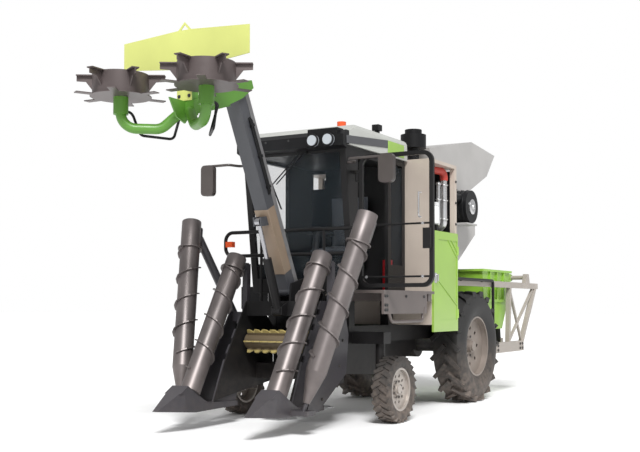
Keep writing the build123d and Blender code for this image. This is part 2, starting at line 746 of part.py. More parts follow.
LIFT_BARREL = 560
LIFT_ROD_END = 330
with BuildPart() as lift_barrel:
    barrel(LIFT_FOOT, LIFT_EYE, 0, LIFT_BARREL, LIFT_BARREL_DIA, LIFT_ROD_DIA, LIFT_ROD_DIA)
finish(lift_barrel, "lift_barrel")

with BuildPart() as lift_rod:
    rod(LIFT_FOOT, LIFT_EYE, 0, LIFT_ROD_END, LIFT_ROD_DIA)
finish(lift_rod, "lift_rod")

# Topper head: bracket with curved arms and motors, shield and two drums
HEAD_BOX_X = 2170
MOTOR_DIA = 130
SHAFT_DIA = 40
KNIFE_THICK = 8
ARM_LOW = 2740
ARM_BEND = 135
GUSSET = 8
KNIFE_LOW = DRUM_LOW - KNIFE_THICK
with BuildPart() as topper_bracket:
    for _, side in SIDES:
        slab(
            [
                (link_head[0] - 50, link_head[1] - 20),
                (link_head[0] - 20, link_head[1] + 50),
                (BOOM_HEAD[0] + 60, BOOM_HEAD[1] + 70),
                (1850, 3130),
                (SHIELD_X, 2990),
                (SHIELD_X, 2860),
                (1800, 2990),
                (BOOM_HEAD[0] - 20, BOOM_HEAD[1] - 80),
            ],
            *span(side, BRACKET_IN, BRACKET_OUT),
        )
        way = Vector(DRUM_X - HEAD_BOX_X, side * DRUM_Y)
        reach = way.length
        way = way.normalized()
        stops = [(60, 2900), (0.4 * reach, ARM_LOW), (reach, ARM_LOW), (reach, 2880)]
        pipe([(HEAD_BOX_X + way.X * s, way.Y * s, z) for s, z in stops], ARM_BEND, ARM_DIA)
        bar((DRUM_X, side * DRUM_Y, 2860), (DRUM_X, side * DRUM_Y, KNIFE_LOW - RUN), MOTOR_DIA)
        bar((DRUM_X, side * DRUM_Y, 2860), (DRUM_X, side * DRUM_Y, DRUM_LOW + 90), SHAFT_DIA)
    beam((1660, 3085), (HEAD_BOX_X, 2930), 100, -BRACKET_IN, BRACKET_IN)
    block((SHIELD_X - 90, SHIELD_X), (-BRACKET_IN, BRACKET_IN), (2870, SHIELD_LOW))
    slab(
        [(SHIELD_X - 80, 2880), (SHIELD_X - 40, 2985), (2430, 2985), (2330, 2830), (SHIELD_X, 2790)],
        -GUSSET,
        GUSSET,
    )
    for place in (BOOM_HEAD, link_head):
        cross_pin(place, BOOM_PIN_DIA, -BRACKET_OUT, BRACKET_OUT)
finish(topper_bracket, "topper_bracket")

with BuildPart() as shield:
    with BuildSketch(Plane.YZ.offset(SHIELD_X)):
        with BuildLine():
            Polyline(
                (-BRACKET_IN, 2990),
                (-BRACKET_IN, SHIELD_LOW - 60),
                (-SHIELD_HALF, SHIELD_LOW),
                (-SHIELD_HALF, SHIELD_TOP - 40),
                (-LOOP_HALF, SHIELD_TOP),
                (0, SHIELD_TOP + LOOP_RISE),
                (LOOP_HALF, SHIELD_TOP),
                (SHIELD_HALF, SHIELD_TOP - 40),
                (SHIELD_HALF, SHIELD_LOW),
                (BRACKET_IN, SHIELD_LOW - 60),
                (BRACKET_IN, 2990),
                close=True,
            )
        make_face()
        with BuildLine():
            Polyline(
                (-LOOP_HALF * 0.6, SHIELD_TOP),
                (0, SHIELD_TOP + LOOP_RISE * 0.65),
                (LOOP_HALF * 0.6, SHIELD_TOP),
                close=True,
            )
        make_face(mode=Mode.SUBTRACT)
    extrude(amount=SHEET)
finish(shield, "topper_shield")

HOSE_DIA = 24
HOSE_X = 1990
HOSE_Z = 3000
HOSE_SEAT = 0.3
with BuildPart() as topper_hoses:
    for _, side in SIDES:
        pipe(
            [
                (DRUM_X - MOTOR_DIA / 2 - HOSE_SEAT, side * DRUM_Y, 2900),
                (2370, side * DRUM_Y, 2900),
                (2330, side * 400, 2700),
                (2120, side * 200, 2680),
                (HOSE_X, side * 200, HOSE_Z),
                (HOSE_X, side * (BRACKET_OUT + HOSE_SEAT), HOSE_Z),
            ],
            50,
            HOSE_DIA,
        )
finish(topper_hoses, "topper_hoses")

BLADES = 6
FIN_THICK = 10
FLANGE_WIDTH = 64
for name, side in SIDES:
    hub = (DRUM_X, side * DRUM_Y)
    with BuildPart() as drum:
        bar((*hub, DRUM_LOW), (*hub, DRUM_TOP), DRUM_DIA)
        bar((*hub, KNIFE_LOW), (*hub, DRUM_LOW), DRUM_DIA + 40)
        for step in range(BLADES):
            turn = 2 * math.pi * step / BLADES
            out = Vector(math.cos(turn), math.sin(turn), 0)
            fin_plane = Plane(origin=(*hub, 0), x_dir=out, z_dir=out.cross(Vector(0, 0, 1)))
            with BuildSketch(fin_plane) as fin:
                with BuildLine():
                    Polyline(
                        (DRUM_DIA / 2 - 10, DRUM_TOP - 150),
                        (DRUM_DIA / 2 - 10, DRUM_TOP),
                        (PADDLE_DIA / 2, DRUM_TOP),
                        (PADDLE_DIA / 2, DRUM_TOP - 55),
                        (DRUM_DIA / 2 + 60, DRUM_TOP - 60),
                        close=True,
                    )
                make_face()
            extrude(fin.sketch, amount=FIN_THICK / 2, both=True)
            with BuildSketch(fin_plane.offset(-FLANGE_WIDTH / 2)) as flange:
                with BuildLine():
                    Polyline(
                        (DRUM_DIA / 2 - 10, DRUM_TOP - FIN_THICK),
                        (DRUM_DIA / 2 - 10, DRUM_TOP),
                        (PADDLE_DIA / 2, DRUM_TOP),
                        (PADDLE_DIA / 2, DRUM_TOP - FIN_THICK),
                        close=True,
                    )
                make_face()
            extrude(flange.sketch, amount=FLANGE_WIDTH)
        with BuildSketch(Plane.XY.offset(KNIFE_LOW)) as knives:
            with Locations(hub):
                with PolarLocations(KNIFE_DIA / 2 - 75, BLADES, start_angle=30):
                    Rectangle(150, 70)
        extrude(knives.sketch, amount=KNIFE_THICK)
        bar((*hub, KNIFE_LOW), (*hub, DRUM_LOW + 95), SHAFT_DIA + 2 * RUN, Mode.SUBTRACT)
    finish(drum, f"topper_drum_{name}")

# Cab shell with its openings, glass, roof and visor


def front_x(z):
    """Where the cab's raked front stands at a height."""
    return CAB_FRONT_LOW + (CAB_FRONT_TOP - CAB_FRONT_LOW) * (z - CAB_LOW) / (CAB_TOP - CAB_LOW)


FLOOR_TOP = CAB_LOW + 30
HINGE_HEIGHTS = (DOOR_LOW + 220, DOOR_TOP - 220)
PILLAR = 70
SIDE_SILL = 1640
RIGHT_WINDOW_REAR = -390
REAR_WINDOW_Y = (-580, -390)
REAR_WINDOW_Z = (2560, 2740)
screen_half = CAB_HALF - PILLAR
door_front = CAB_FRONT_LOW - 80
right_window = [
    (front_x(SIDE_SILL) - PILLAR, SIDE_SILL),
    (front_x(LINTEL) - PILLAR, LINTEL),
    (RIGHT_WINDOW_REAR, LINTEL),
    (RIGHT_WINDOW_REAR, SIDE_SILL),
]
quarter_window = [
    (DOOR_REAR - PILLAR, SIDE_SILL),
    (DOOR_REAR - PILLAR, LINTEL),
    (CAB_REAR + PILLAR, LINTEL),
    (CAB_REAR + PILLAR, SIDE_SILL),
]
doorway = [
    (door_front, FLOOR_TOP),
    (door_front, LINTEL - 20),
    (DOOR_REAR, LINTEL - 20),
    (DOOR_REAR, FLOOR_TOP),
]
with BuildPart() as cab_frame:
    slab(
        [(CAB_FRONT_LOW, CAB_LOW), (CAB_FRONT_TOP, CAB_TOP), (CAB_REAR, CAB_TOP), (CAB_REAR, CAB_LOW)],
        -CAB_HALF,
        CAB_HALF,
    )
    slab(
        [
            (front_x(FLOOR_TOP) - CAB_WALL, FLOOR_TOP),
            (front_x(CAB_TOP - CAB_WALL) - CAB_WALL, CAB_TOP - CAB_WALL),
            (CAB_REAR + CAB_WALL, CAB_TOP - CAB_WALL),
            (CAB_REAR + CAB_WALL, FLOOR_TOP),
        ],
        CAB_WALL - CAB_HALF,
        CAB_HALF - CAB_WALL,
        Mode.SUBTRACT,
    )
    slab(
        [
            (front_x(SILL) - 2 * CAB_WALL, SILL),
            (front_x(LINTEL) - 2 * CAB_WALL, LINTEL),
            (front_x(LINTEL) + CAB_WALL, LINTEL),
            (front_x(SILL) + CAB_WALL, SILL),
        ],
        -screen_half,
        screen_half,
        Mode.SUBTRACT,
    )
    slab(right_window, -CAB_HALF - 1, CAB_WALL - CAB_HALF + 1, Mode.SUBTRACT)
    block((CAB_REAR - 1, CAB_REAR + CAB_WALL + 1), REAR_WINDOW_Y, REAR_WINDOW_Z, Mode.SUBTRACT)
    for opening in (quarter_window, doorway):
        slab(opening, CAB_HALF - CAB_WALL - 1, CAB_HALF + 1, Mode.SUBTRACT)
    for z in HINGE_HEIGHTS:
        ear = (z + 45 + RUN, z + 70)
        block((DOOR_HINGE_X - 70, DOOR_HINGE_X + 18), (CAB_HALF, DOOR_HINGE_Y - 25), ear)
        block((DOOR_HINGE_X - 18, DOOR_HINGE_X + 18), (CAB_HALF, DOOR_HINGE_Y + 18), ear)
        bar((DOOR_HINGE_X, DOOR_HINGE_Y, z - 40), (DOOR_HINGE_X, DOOR_HINGE_Y, z + 60), DOOR_PIN)
finish(cab_frame, "cab_frame")

with BuildPart() as cab_glass:
    slab(
        [
            (front_x(SILL) - 20, SILL),
            (front_x(LINTEL) - 20, LINTEL),
            (front_x(LINTEL) - 20 + GLASS, LINTEL),
            (front_x(SILL) - 20 + GLASS, SILL),
        ],
        -screen_half,
        screen_half,
    )
    slab(right_window, -CAB_HALF + 15, -CAB_HALF + 15 + GLASS)
    slab(quarter_window, CAB_HALF - 15 - GLASS, CAB_HALF - 15)
    block((CAB_REAR + 15, CAB_REAR + 15 + GLASS), REAR_WINDOW_Y, REAR_WINDOW_Z)
finish(cab_glass, "cab_glass")

ROOF_SIDE = CAB_HALF + 25
POD_Y = (230, 580)
with BuildPart() as cab_roof:
    slab(
        [
            (CAB_FRONT_TOP - 45, CAB_TOP),
            (CAB_FRONT_TOP - 45, CAB_TOP + 140),
            (200, ROOF_TOP),
            (CAB_REAR, ROOF_TOP),
            (CAB_REAR - 15, CAB_TOP),
        ],
        -ROOF_SIDE,
        ROOF_SIDE,
    )
    fillet(cab_roof.edges().filter_by(Axis.X).group_by(Axis.Z)[-1], 70)
finish(cab_roof, "cab_roof")

with BuildPart() as visor:
    slab(
        [
            (CAB_FRONT_TOP - 45, CAB_TOP),
            (CAB_FRONT_TOP, CAB_TOP),
            (CAB_FRONT_TOP, CAB_TOP - 45),
            (VISOR_FRONT, CAB_TOP - 20),
            (VISOR_FRONT, CAB_TOP + 90),
            (VISOR_FRONT - 60, CAB_TOP + 140),
            (CAB_FRONT_TOP - 45, CAB_TOP + 140),
        ],
        -ROOF_SIDE,
        ROOF_SIDE,
    )
    block((CAB_FRONT_TOP - 40, VISOR_FRONT), POD_Y, (CAB_TOP + 40, CAB_TOP + 160))
finish(visor, "cab_visor")

GUARD_X = 450
RAIL_DIA = 38
GUARD_END = -840
TURN_LAMP_Y = (GUARD_END + RAIL_DIA / 2 + RUN, GUARD_END + 100)
TURN_LAMP_Z = (1815, 1875)
LAMP_DIA = 105
LAMP_BEZEL_DIA = 130
LAMP_PLACES = (300, 480)
LAMP_Z = CAB_TOP + 42
with BuildPart() as work_lamps:
    for y in LAMP_PLACES:
        bar((VISOR_FRONT, y, LAMP_Z), (VISOR_FRONT + 22, y, LAMP_Z), LAMP_BEZEL_DIA)
        bar((VISOR_FRONT, y, LAMP_Z), (VISOR_FRONT + 40, y, LAMP_Z), LAMP_DIA)
finish(work_lamps, "work_lamps")

with BuildPart() as beacon:
    bar((-410, 100, ROOF_TOP), (-410, 100, ROOF_TOP + 40), 130)
    bar((-410, 100, ROOF_TOP + 40), (-410, 100, ROOF_TOP + 170), 100)
    block((GUARD_X - 30, GUARD_X + 30), TURN_LAMP_Y, TURN_LAMP_Z)
finish(beacon, "beacon")

with BuildPart() as cab_interior:
    block((-700, -420), (-150, 150), (FLOOR_TOP, 1750))
    block((-800, -300), (-240, 240), (1750, 1860))
    block((-820, -720), (-230, 230), (1860, 2420))
    block((20, 140), (-60, 60), (FLOOR_TOP, FLOOR_TOP + 80))
    bar((76, 0, FLOOR_TOP + 40), (-60, 0, 1980), 70)
    bar((-55, 0, 1960), (-65, 0, 2003), 380)
finish(cab_interior, "cab_interior")

with BuildPart() as extinguisher:
    bar((-740, 500, FLOOR_TOP), (-740, 500, FLOOR_TOP + 340), 110)
    bar((-740, 500, FLOOR_TOP + 340), (-740, 500, FLOOR_TOP + 400), 40)
finish(extinguisher, "fire_extinguisher")

# Door, modelled open as it stands, with its hinge on the left front pillar
DOOR_RAILS = (1480, 2000)
door_near = DOOR_HINGE_Y + DOOR_STILE_GAP
door_far = DOOR_HINGE_Y + DOOR_REACH
door_width = door_far - door_near
door_height = DOOR_TOP - DOOR_LOW
door_middle = ((door_near + door_far) / 2, (DOOR_LOW + DOOR_TOP) / 2)
with BuildPart() as door_frame:
    with BuildSketch(Plane.YZ.offset(DOOR_HINGE_X - DOOR_TUBE / 2)) as outline:
        with Locations(door_middle):
            RectangleRounded(door_width, door_height, 110)
            RectangleRounded(door_width - 2 * DOOR_TUBE, door_height - 2 * DOOR_TUBE, 75, mode=Mode.SUBTRACT)
    extrude(outline.sketch, amount=DOOR_TUBE)
    for z in DOOR_RAILS:
        bar((DOOR_HINGE_X + 10, door_near + 20, z), (DOOR_HINGE_X + 10, door_far - 20, z), 20)
    block(
        (DOOR_HINGE_X + DOOR_TUBE / 2, DOOR_HINGE_X + DOOR_TUBE / 2 + 45),
        (door_far - 90, door_far - 10),
        (1750, 1950),
    )
    for z in HINGE_HEIGHTS:
        bar((DOOR_HINGE_X, DOOR_HINGE_Y, z - 45), (DOOR_HINGE_X, DOOR_HINGE_Y, z + 45), DOOR_KNUCKLE)
        block((DOOR_HINGE_X - 8, DOOR_HINGE_X + 8), (DOOR_HINGE_Y, door_near + 10), (z - 45, z + 45))
        bar(
            (DOOR_HINGE_X, DOOR_HINGE_Y, z - 46),
            (DOOR_HINGE_X, DOOR_HINGE_Y, z + 46),
            DOOR_PIN + 2 * RUN,
            Mode.SUBTRACT,
        )
finish(door_frame, "door_frame")

with BuildPart() as door_glass:
    with BuildSketch(Plane.YZ.offset(DOOR_HINGE_X - GLASS - 8)) as pane:
        with Locations(door_middle):
            RectangleRounded(door_width - 2 * DOOR_TUBE, door_height - 2 * DOOR_TUBE, 75)
    extrude(pane.sketch, amount=GLASS)
finish(door_glass, "door_glass")

# Landing beside the door, rails and mirrors
LANDING_OUT = 1000
LANDING_FRONT = 330
LANDING_REAR = CAB_REAR + 40
STEP_Z = 1030
with BuildPart() as landing:
    block((LANDING_REAR, LANDING_FRONT), (CAB_HALF, LANDING_OUT), (CAB_LOW - 10, CAB_LOW + 20))
    block((-700, LANDING_FRONT), (LANDING_OUT - 25, LANDING_OUT), (1110, CAB_LOW))
    for post_x in (CAB_FRONT_LOW - 170, CAB_REAR + 120):
        block((post_x - 40, post_x + 40), (RAIL_OUT, LANDING_OUT - 20), (CAB_LOW - 90, CAB_LOW - 5))
    pipe(
        [(x, LANDING_OUT - 12, z) for x, z in ((240, 1180), (140, STEP_Z), (-600, STEP_Z), (-640, 1180))],
        60,
        34,
    )
finish(landing, "landing")

POST_DIA = 30
GUARD_TOP = 1970
GUARD_LOW = 1720
REAR_RAIL_Y = 825
REAR_RAIL_Z = 1520
REAR_RAIL_END = -3170
with BuildPart() as guard_rail:
    pipe(
        [(GUARD_X, 720, GUARD_TOP), (GUARD_X, GUARD_END, GUARD_TOP)]
        + [(GUARD_X, GUARD_END, GUARD_LOW), (GUARD_X, 720, GUARD_LOW)],
        90,
        RAIL_DIA,
    )
    bar((GUARD_X, 690, GUARD_LOW), (GUARD_X, 690, GUARD_TOP), POST_DIA)
    for _, side in SIDES:
        bar((GUARD_X, side * 380, BEAM_TOP), (GUARD_X, side * 380, GUARD_TOP), POST_DIA)
    pipe(
        [
            (BAY_REAR - HOSE_SEAT, 890, REAR_RAIL_Z),
            (BAY_REAR - 70, 890, REAR_RAIL_Z),
            (BAY_REAR - 150, REAR_RAIL_Y, REAR_RAIL_Z),
            (REAR_RAIL_END, REAR_RAIL_Y, REAR_RAIL_Z),
            (REAR_RAIL_END, REAR_RAIL_Y, 950),
            (REAR_RAIL_END - 125, REAR_RAIL_Y - 45, RAIL_LOW + 60),
            (REAR_RAIL_END - 125, REAR_RAIL_Y - 45, RAIL_LOW + HOSE_SEAT),
        ],
        45,
        RAIL_DIA,
    )
    for x in (-2100, -2800):
        bar((x, CARRIER_OUT + HOSE_SEAT, REAR_RAIL_Z - 15), (x, REAR_RAIL_Y, REAR_RAIL_Z - 15), 20)
finish(guard_rail, "guard_rail")

MIRRORS = [
    # side, forward place, head's middle, lower edge, upper edge, arm's height
    (1, 600, 1170, 2380, 2660, 2640),
    (-1, 520, 1020, 2370, 2700, 2690),
]
with BuildPart() as mirrors:
    for side, x, y, low, high, arm in MIRRORS:
        pipe(
            [(380, side * CAB_HALF, arm), (380, side * (CAB_HALF + 90), arm)]
            + [(x, side * (CAB_HALF + 130), arm), (x, side * y, arm)],
            40,
            28,
        )
        with BuildSketch(Plane.YZ.offset(x - 30)) as head_outline:
            with Locations((side * y, (low + high) / 2)):
                RectangleRounded(160, high - low, 45)
        extrude(head_outline.sketch, amount=60)
finish(mirrors, "mirrors")

# Engine bay
DECK = 20
ENGINE_HALF = 560
ENGINE_TOP = 1950
with BuildPart() as engine_bay:
    block((BAY_REAR, BAY_FRONT), (-BAY_HALF, BAY_HALF), (RAIL_TOP, RAIL_TOP + DECK))
    block((BAY_REAR, BAY_FRONT), (-BAY_HALF, BAY_HALF), (BAY_TOP - 40, BAY_TOP))
    for _, side in SIDES:
        for x in (BAY_REAR, BAY_FRONT - BAY_POST):
            block((x, x + BAY_POST), span(side, BAY_HALF - BAY_POST, BAY_HALF), (RAIL_TOP, BAY_TOP))
    block((BAY_FRONT - SHEET, BAY_FRONT), (-BAY_HALF, BAY_HALF), (RAIL_TOP, BAY_TOP))
    block((BAY_FRONT - SHEET - 1, BAY_FRONT + 1), (-860, -380), (2450, BAY_TOP - 40), Mode.SUBTRACT)
finish(engine_bay, "engine_bay")

with BuildPart() as engine:
    block((BAY_REAR + 90, BAY_FRONT - 90), (-ENGINE_HALF, ENGINE_HALF), (RAIL_TOP + DECK, ENGINE_TOP))
finish(engine, "engine_block")

BAY_PIPES = [
    # forward place, diameter, upper end, place of the lower end on the engine
    (-1545, 72, 2680, 420),
    (-1385, 46, 2620, 470),
]
PIPE_Y = 835
PIPE_LOW = 2095
with BuildPart() as bay_pipes:
    for x, dia, top, engine_y in BAY_PIPES:
        pipe(
            [(x, PIPE_Y, top), (x, PIPE_Y, PIPE_LOW), (x, engine_y, PIPE_LOW)]
            + [(x, engine_y, ENGINE_TOP + HOSE_SEAT)],
            75,
            dia,
        )
finish(bay_pipes, "bay_pipes")

PANEL_THICK = 25
PANEL_GAP = RUN
HINGE_DIA = 30
RECESS = 8
RECESS_X = (-1650, -1120)
CREASES = (((-1120, 1480), (-1650, 1200)), ((-1400, 1945), (-1650, 1760)), ((-1500, 1945), (-1650, 1830)))
with BuildPart() as side_panel:
    block((BAY_REAR + 15, BAY_FRONT - 15), (-BAY_HALF - PANEL_THICK, -BAY_HALF), (PANEL_LOW, PANEL_TOP))
finish(side_panel, "side_panel_right")

with BuildPart() as side_door:
    block(
        (BAY_REAR + 25, BAY_FRONT - 15),
        (BAY_HALF + PANEL_GAP, BAY_HALF + PANEL_GAP + PANEL_THICK),
        (PANEL_LOW, PANEL_TOP),
    )
    panel_face = BAY_HALF + PANEL_GAP + PANEL_THICK
    block(RECESS_X, (panel_face - RECESS, panel_face + 1), (PANEL_LOW + 130, PANEL_TOP - 90), Mode.SUBTRACT)
    for near, far in CREASES:
        beam(near, far, 14, panel_face - RECESS, panel_face)
    for z in (PANEL_LOW + 200, PANEL_TOP - 200):
        bar(
            (BAY_REAR + 20, BAY_HALF + PANEL_GAP + PANEL_THICK / 2 + 5, z - 50),
            (BAY_REAR + 20, BAY_HALF + PANEL_GAP + PANEL_THICK / 2 + 5, z + 50),
            HINGE_DIA,
        )
finish(side_door, "side_door_left")

# Extractor: hopper with fan ring, fan, hood and air cleaner
FLANGE_HALF = 560
SHELF_X = (-2600, -2260)
SHELF_REACH = 230
SHELF_TOP = FAN_LOW - 28
with BuildPart() as chamber:
    slab(
        [
            (HOPPER_FRONT, FAN_LOW),
            (HOPPER_REAR, FAN_LOW),
            (HOPPER_REAR, FAN_LOW - 120),
            (HOPPER_REAR + 580, 1760),
            (HOPPER_FRONT, 1760),
        ],
        -HOPPER_HALF,
        HOPPER_HALF,
    )
    slab(
        [
            (HOPPER_FRONT - SHEET, FAN_LOW - SHEET),
            (HOPPER_REAR + SHEET, FAN_LOW - SHEET),
            (HOPPER_REAR + SHEET, FAN_LOW - 115),
            (HOPPER_REAR + 580, 1770),
            (HOPPER_REAR + 580, 1750),
            (HOPPER_FRONT - SHEET, 1750),
        ],
        SHEET - HOPPER_HALF,
        HOPPER_HALF - SHEET,
        Mode.SUBTRACT,
    )
    bar((FAN_X, 0, FAN_LOW), (FAN_X, 0, FAN_TOP), FAN_DIA)
    block((FAN_X - FLANGE_HALF, FAN_X + FLANGE_HALF), (-HOPPER_HALF, HOPPER_HALF), (FAN_TOP - SHEET, FAN_TOP))
    bar((FAN_X, 0, FAN_LOW - 20), (FAN_X, 0, FAN_TOP + 5), FAN_DIA - 2 * SHEET, Mode.SUBTRACT)
    block((FAN_X - 40, FAN_X + 40), (4 - FAN_DIA / 2, FAN_DIA / 2 - 4), (FAN_LOW + 50, FAN_LOW + 90))
    bar((FAN_X, 0, FAN_LOW + 60), (FAN_X, 0, FAN_LOW + 170), 160)
    bar((FAN_X, 0, FAN_LOW + 60), (FAN_X, 0, FAN_LOW + 260), SHAFT_DIA)
    for _, side in SIDES:
        block((HOPPER_FRONT, HOPPER_FRONT + 50), span(side, RAIL_IN, RAIL_OUT), (RAIL_TOP, FAN_LOW))
        slab(
            [
                (HOPPER_REAR + 580, RAIL_TOP),
                (HOPPER_REAR + 500, RAIL_TOP),
                (HOPPER_REAR + 500, 1815),
                (HOPPER_REAR + 580, 1764),
            ],
            *span(side, RAIL_IN, RAIL_OUT),
        )
    block(SHELF_X, (HOPPER_HALF, HOPPER_HALF + SHELF_REACH), (SHELF_TOP - 22, SHELF_TOP))
finish(chamber, "extractor_chamber")

with BuildPart() as fan:
    bar((FAN_X, 0, FAN_LOW + 170 + RUN), (FAN_X, 0, FAN_LOW + 290), 180)
    for step in range(5):
        with Locations(Location((FAN_X, 0, FAN_LOW + 230), (0, 0, 72 * step))):
            with Locations(Location((270, 0, 0), (25, 0, 0))):
                Box(420, 150, 8)
    bar((FAN_X, 0, FAN_LOW + 170), (FAN_X, 0, FAN_LOW + 265), SHAFT_DIA + 2 * RUN, Mode.SUBTRACT)
finish(fan, "extractor_fan")

hood_side = [
    (FAN_X + 550, FAN_TOP),
    (-1660, 3080),
    (-2990, 3340),
    (-3840, 3270),
    (-3540, 2950),
    (-2850, 2660),
    (-2840, FAN_TOP),
]
with BuildPart() as hood:
    slab(hood_side, -HOPPER_HALF, HOPPER_HALF)
    slab(
        [
            (FAN_X + 550 - SHEET, FAN_TOP - 10),
            (-1660 - SHEET, 3080 - SHEET),
            (-2990, 3340 - SHEET),
            (-3900, 3270 - 1.6 * SHEET),
            (-3600, 2850),
            (-2950, 2600),
        ],
        SHEET - HOPPER_HALF,
        HOPPER_HALF - SHEET,
        Mode.SUBTRACT,
    )
finish(hood, "extractor_hood")

CLEANER_DIA = 410
cleaner = (-2430, SHELF_TOP + RUN + CLEANER_DIA / 2)
with BuildPart() as air_intake:
    cross_pin(cleaner, CLEANER_DIA, HOPPER_HALF + 15, HOPPER_HALF + 230)
    bar((cleaner[0], 720, 2520), (BAY_REAR + 100, 720, 2520), 120)
    bar((-1420, 500, BAY_TOP), (-1420, 500, BAY_TOP + 200), 140)
    bar((-1420, 500, BAY_TOP + 200), (-1420, 500, BAY_TOP + 360), 300)
    bar((-1420, 500, BAY_TOP + 360), (-1420, 500, BAY_TOP + 420), 200)
finish(air_intake, "air_intake")

# Cane bin, its carrier frame and its tipping cylinders
bin_side = [
    (BIN_FRONT, BIN_TOP),
    (BIN_REAR, BIN_TOP),
    (BIN_REAR + 70, BIN_LEDGE),
    (BIN_REAR + 300, BIN_LOW),
    (BIN_FRONT - 290, BIN_LOW),
    (BIN_FRONT - 55, BIN_LEDGE),
]
LIP = 28
RIB = 22
RIBS = (-3420, -3680, -3940)
with BuildPart() as cane_bin:
    slab(bin_side, -BIN_HALF, BIN_HALF)
    block((BIN_REAR - LIP, BIN_FRONT + LIP), (-BIN_HALF - LIP, BIN_HALF + LIP), (BIN_TOP - 30, BIN_TOP))
    slab(
        [
            (BIN_FRONT - SHEET, BIN_TOP + 5),
            (BIN_REAR + SHEET, BIN_TOP + 5),
            (BIN_REAR + 70 + SHEET, BIN_LEDGE),
            (BIN_REAR + 300 + SHEET, BIN_LOW + SHEET),
            (BIN_FRONT - 290 - SHEET, BIN_LOW + SHEET),
            (BIN_FRONT - 55 - SHEET, BIN_LEDGE),
        ],
        SHEET - BIN_HALF,
        BIN_HALF - SHEET,
        Mode.SUBTRACT,
    )
    for _, side in SIDES:
        for x in RIBS:
            block((x - 20, x + 20), span(side, BIN_HALF, BIN_HALF + RIB), (BIN_LEDGE, BIN_TOP))
        ledge_rib = (BIN_LEDGE - 15, BIN_LEDGE + 20)
        block((BIN_REAR + 80, BIN_FRONT - 65), span(side, BIN_HALF, BIN_HALF + RIB), ledge_rib)
        slab(
            [
                (BIN_REAR, BIN_TOP - 20),
                (TIP_X + 20, TIP_Z + 55),
                (TIP_X - 50, TIP_Z + 35),
                (TIP_X - 50, TIP_Z - 35),
                (TIP_X + 20, TIP_Z - 55),
                (BIN_REAR + 30, BIN_TOP - 200),
            ],
            *span(side, TIP_CYLINDER_Y + 100, TIP_CYLINDER_Y + 120),
        )
        for near, far in ((-LUG_OUT, -LUG_IN), (LUG_IN, LUG_OUT)):
            slab(
                [
                    (BIN_REAR + 20, TIP_EYE[1] + 110),
                    (TIP_EYE[0] - 35, TIP_EYE[1] + 35),
                    (TIP_EYE[0] - 35, TIP_EYE[1] - 35),
                    (BIN_REAR + 50, TIP_EYE[1] - 60),
                ],
                *span(side, TIP_CYLINDER_Y + near, TIP_CYLINDER_Y + far),
            )
    cross_pin((TIP_X, TIP_Z), TIP_TUBE_DIA + 2 * RUN, -BIN_HALF, BIN_HALF, Mode.SUBTRACT)
finish(cane_bin, "cane_bin")

TIP_PIN_DIA = 40
TOW_X = -4520
TOW_BORE = 40
ear_in = TIP_BARREL_DIA / 2 + 5
ear_out = TIP_BARREL_DIA / 2 + 20
with BuildPart() as carrier:
    for _, side in SIDES:
        sides = span(side, CARRIER_IN, CARRIER_OUT)
        braces = span(side, CARRIER_IN + 15, CARRIER_OUT - 15)
        block((-4450, -3250), sides, (CARRIER_LOW, CARRIER_LOW + 140))
        block((-5100, BAY_REAR), sides, (1440, 1520))
        beam((-3880, 660), (-3930, 1460), 60, *sides)
        beam((-4410, 660), (-5020, 1470), 60, *sides)
        beam((-3890, 690), (-4960, 1460), 40, *braces)
        beam((-3920, 1460), (-4430, 690), 40, *braces)
        slab(
            [(TIP_X - 90, 1510), (TIP_X - 45, TIP_Z + 50), (TIP_X + 45, TIP_Z + 50), (TIP_X + 90, 1510)],
            *sides,
        )
        for near, far in ((-ear_out, -ear_in), (ear_in, ear_out)):
            block(
                (TIP_FOOT[0] - 40, TIP_FOOT[0] + 40),
                span(side, TIP_CYLINDER_Y + near, TIP_CYLINDER_Y + far),
                (CARRIER_LOW + 70, TIP_FOOT[1] + 40),
            )
        bar(
            (TIP_FOOT[0], side * TIP_CYLINDER_Y - ear_out, TIP_FOOT[1]),
            (TIP_FOOT[0], side * TIP_CYLINDER_Y + ear_out, TIP_FOOT[1]),
            TIP_PIN_DIA,
        )
    block((-3340, -3250), (-CARRIER_OUT, CARRIER_OUT), (RAIL_LOW - 110, RAIL_LOW))
    block((-4460, -4370), (-CARRIER_OUT, CARRIER_OUT), (CARRIER_LOW, CARRIER_LOW + 80))
    cross_pin((TIP_X, TIP_Z), TIP_TUBE_DIA, -CARRIER_OUT, CARRIER_OUT)
    block((TOW_X - 60, TOW_X + 70), (-70, 70), (CARRIER_LOW + 20, CARRIER_LOW + 50))
    bar((TOW_X, 0, CARRIER_LOW + 10), (TOW_X, 0, CARRIER_LOW + 60), TOW_BORE, Mode.SUBTRACT)
finish(carrier, "bin_carrier")

TIP_BARREL = 620
TIP_ROD_END = 560
with BuildPart() as tip_barrels:
    for _, side in SIDES:
        barrel(TIP_FOOT, TIP_EYE, side * TIP_CYLINDER_Y, TIP_BARREL, TIP_BARREL_DIA, TIP_ROD_DIA, TIP_PIN_DIA)
finish(tip_barrels, "tip_barrels")

with BuildPart() as tip_rods:
    for _, side in SIDES:
        rod(TIP_FOOT, TIP_EYE, side * TIP_CYLINDER_Y, 120, TIP_ROD_DIA)
finish(tip_rods, "tip_rods")
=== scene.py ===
"""Looks of the sugarcane harvester: materials, small trim, floor, light and camera.

Lengths are metres. Trim is placed in machine metres: x forward from the front axle, y to the
machine's left from its middle, z up from the ground.
"""

import math

import bmesh
import bpy
from mathutils import Matrix, Vector


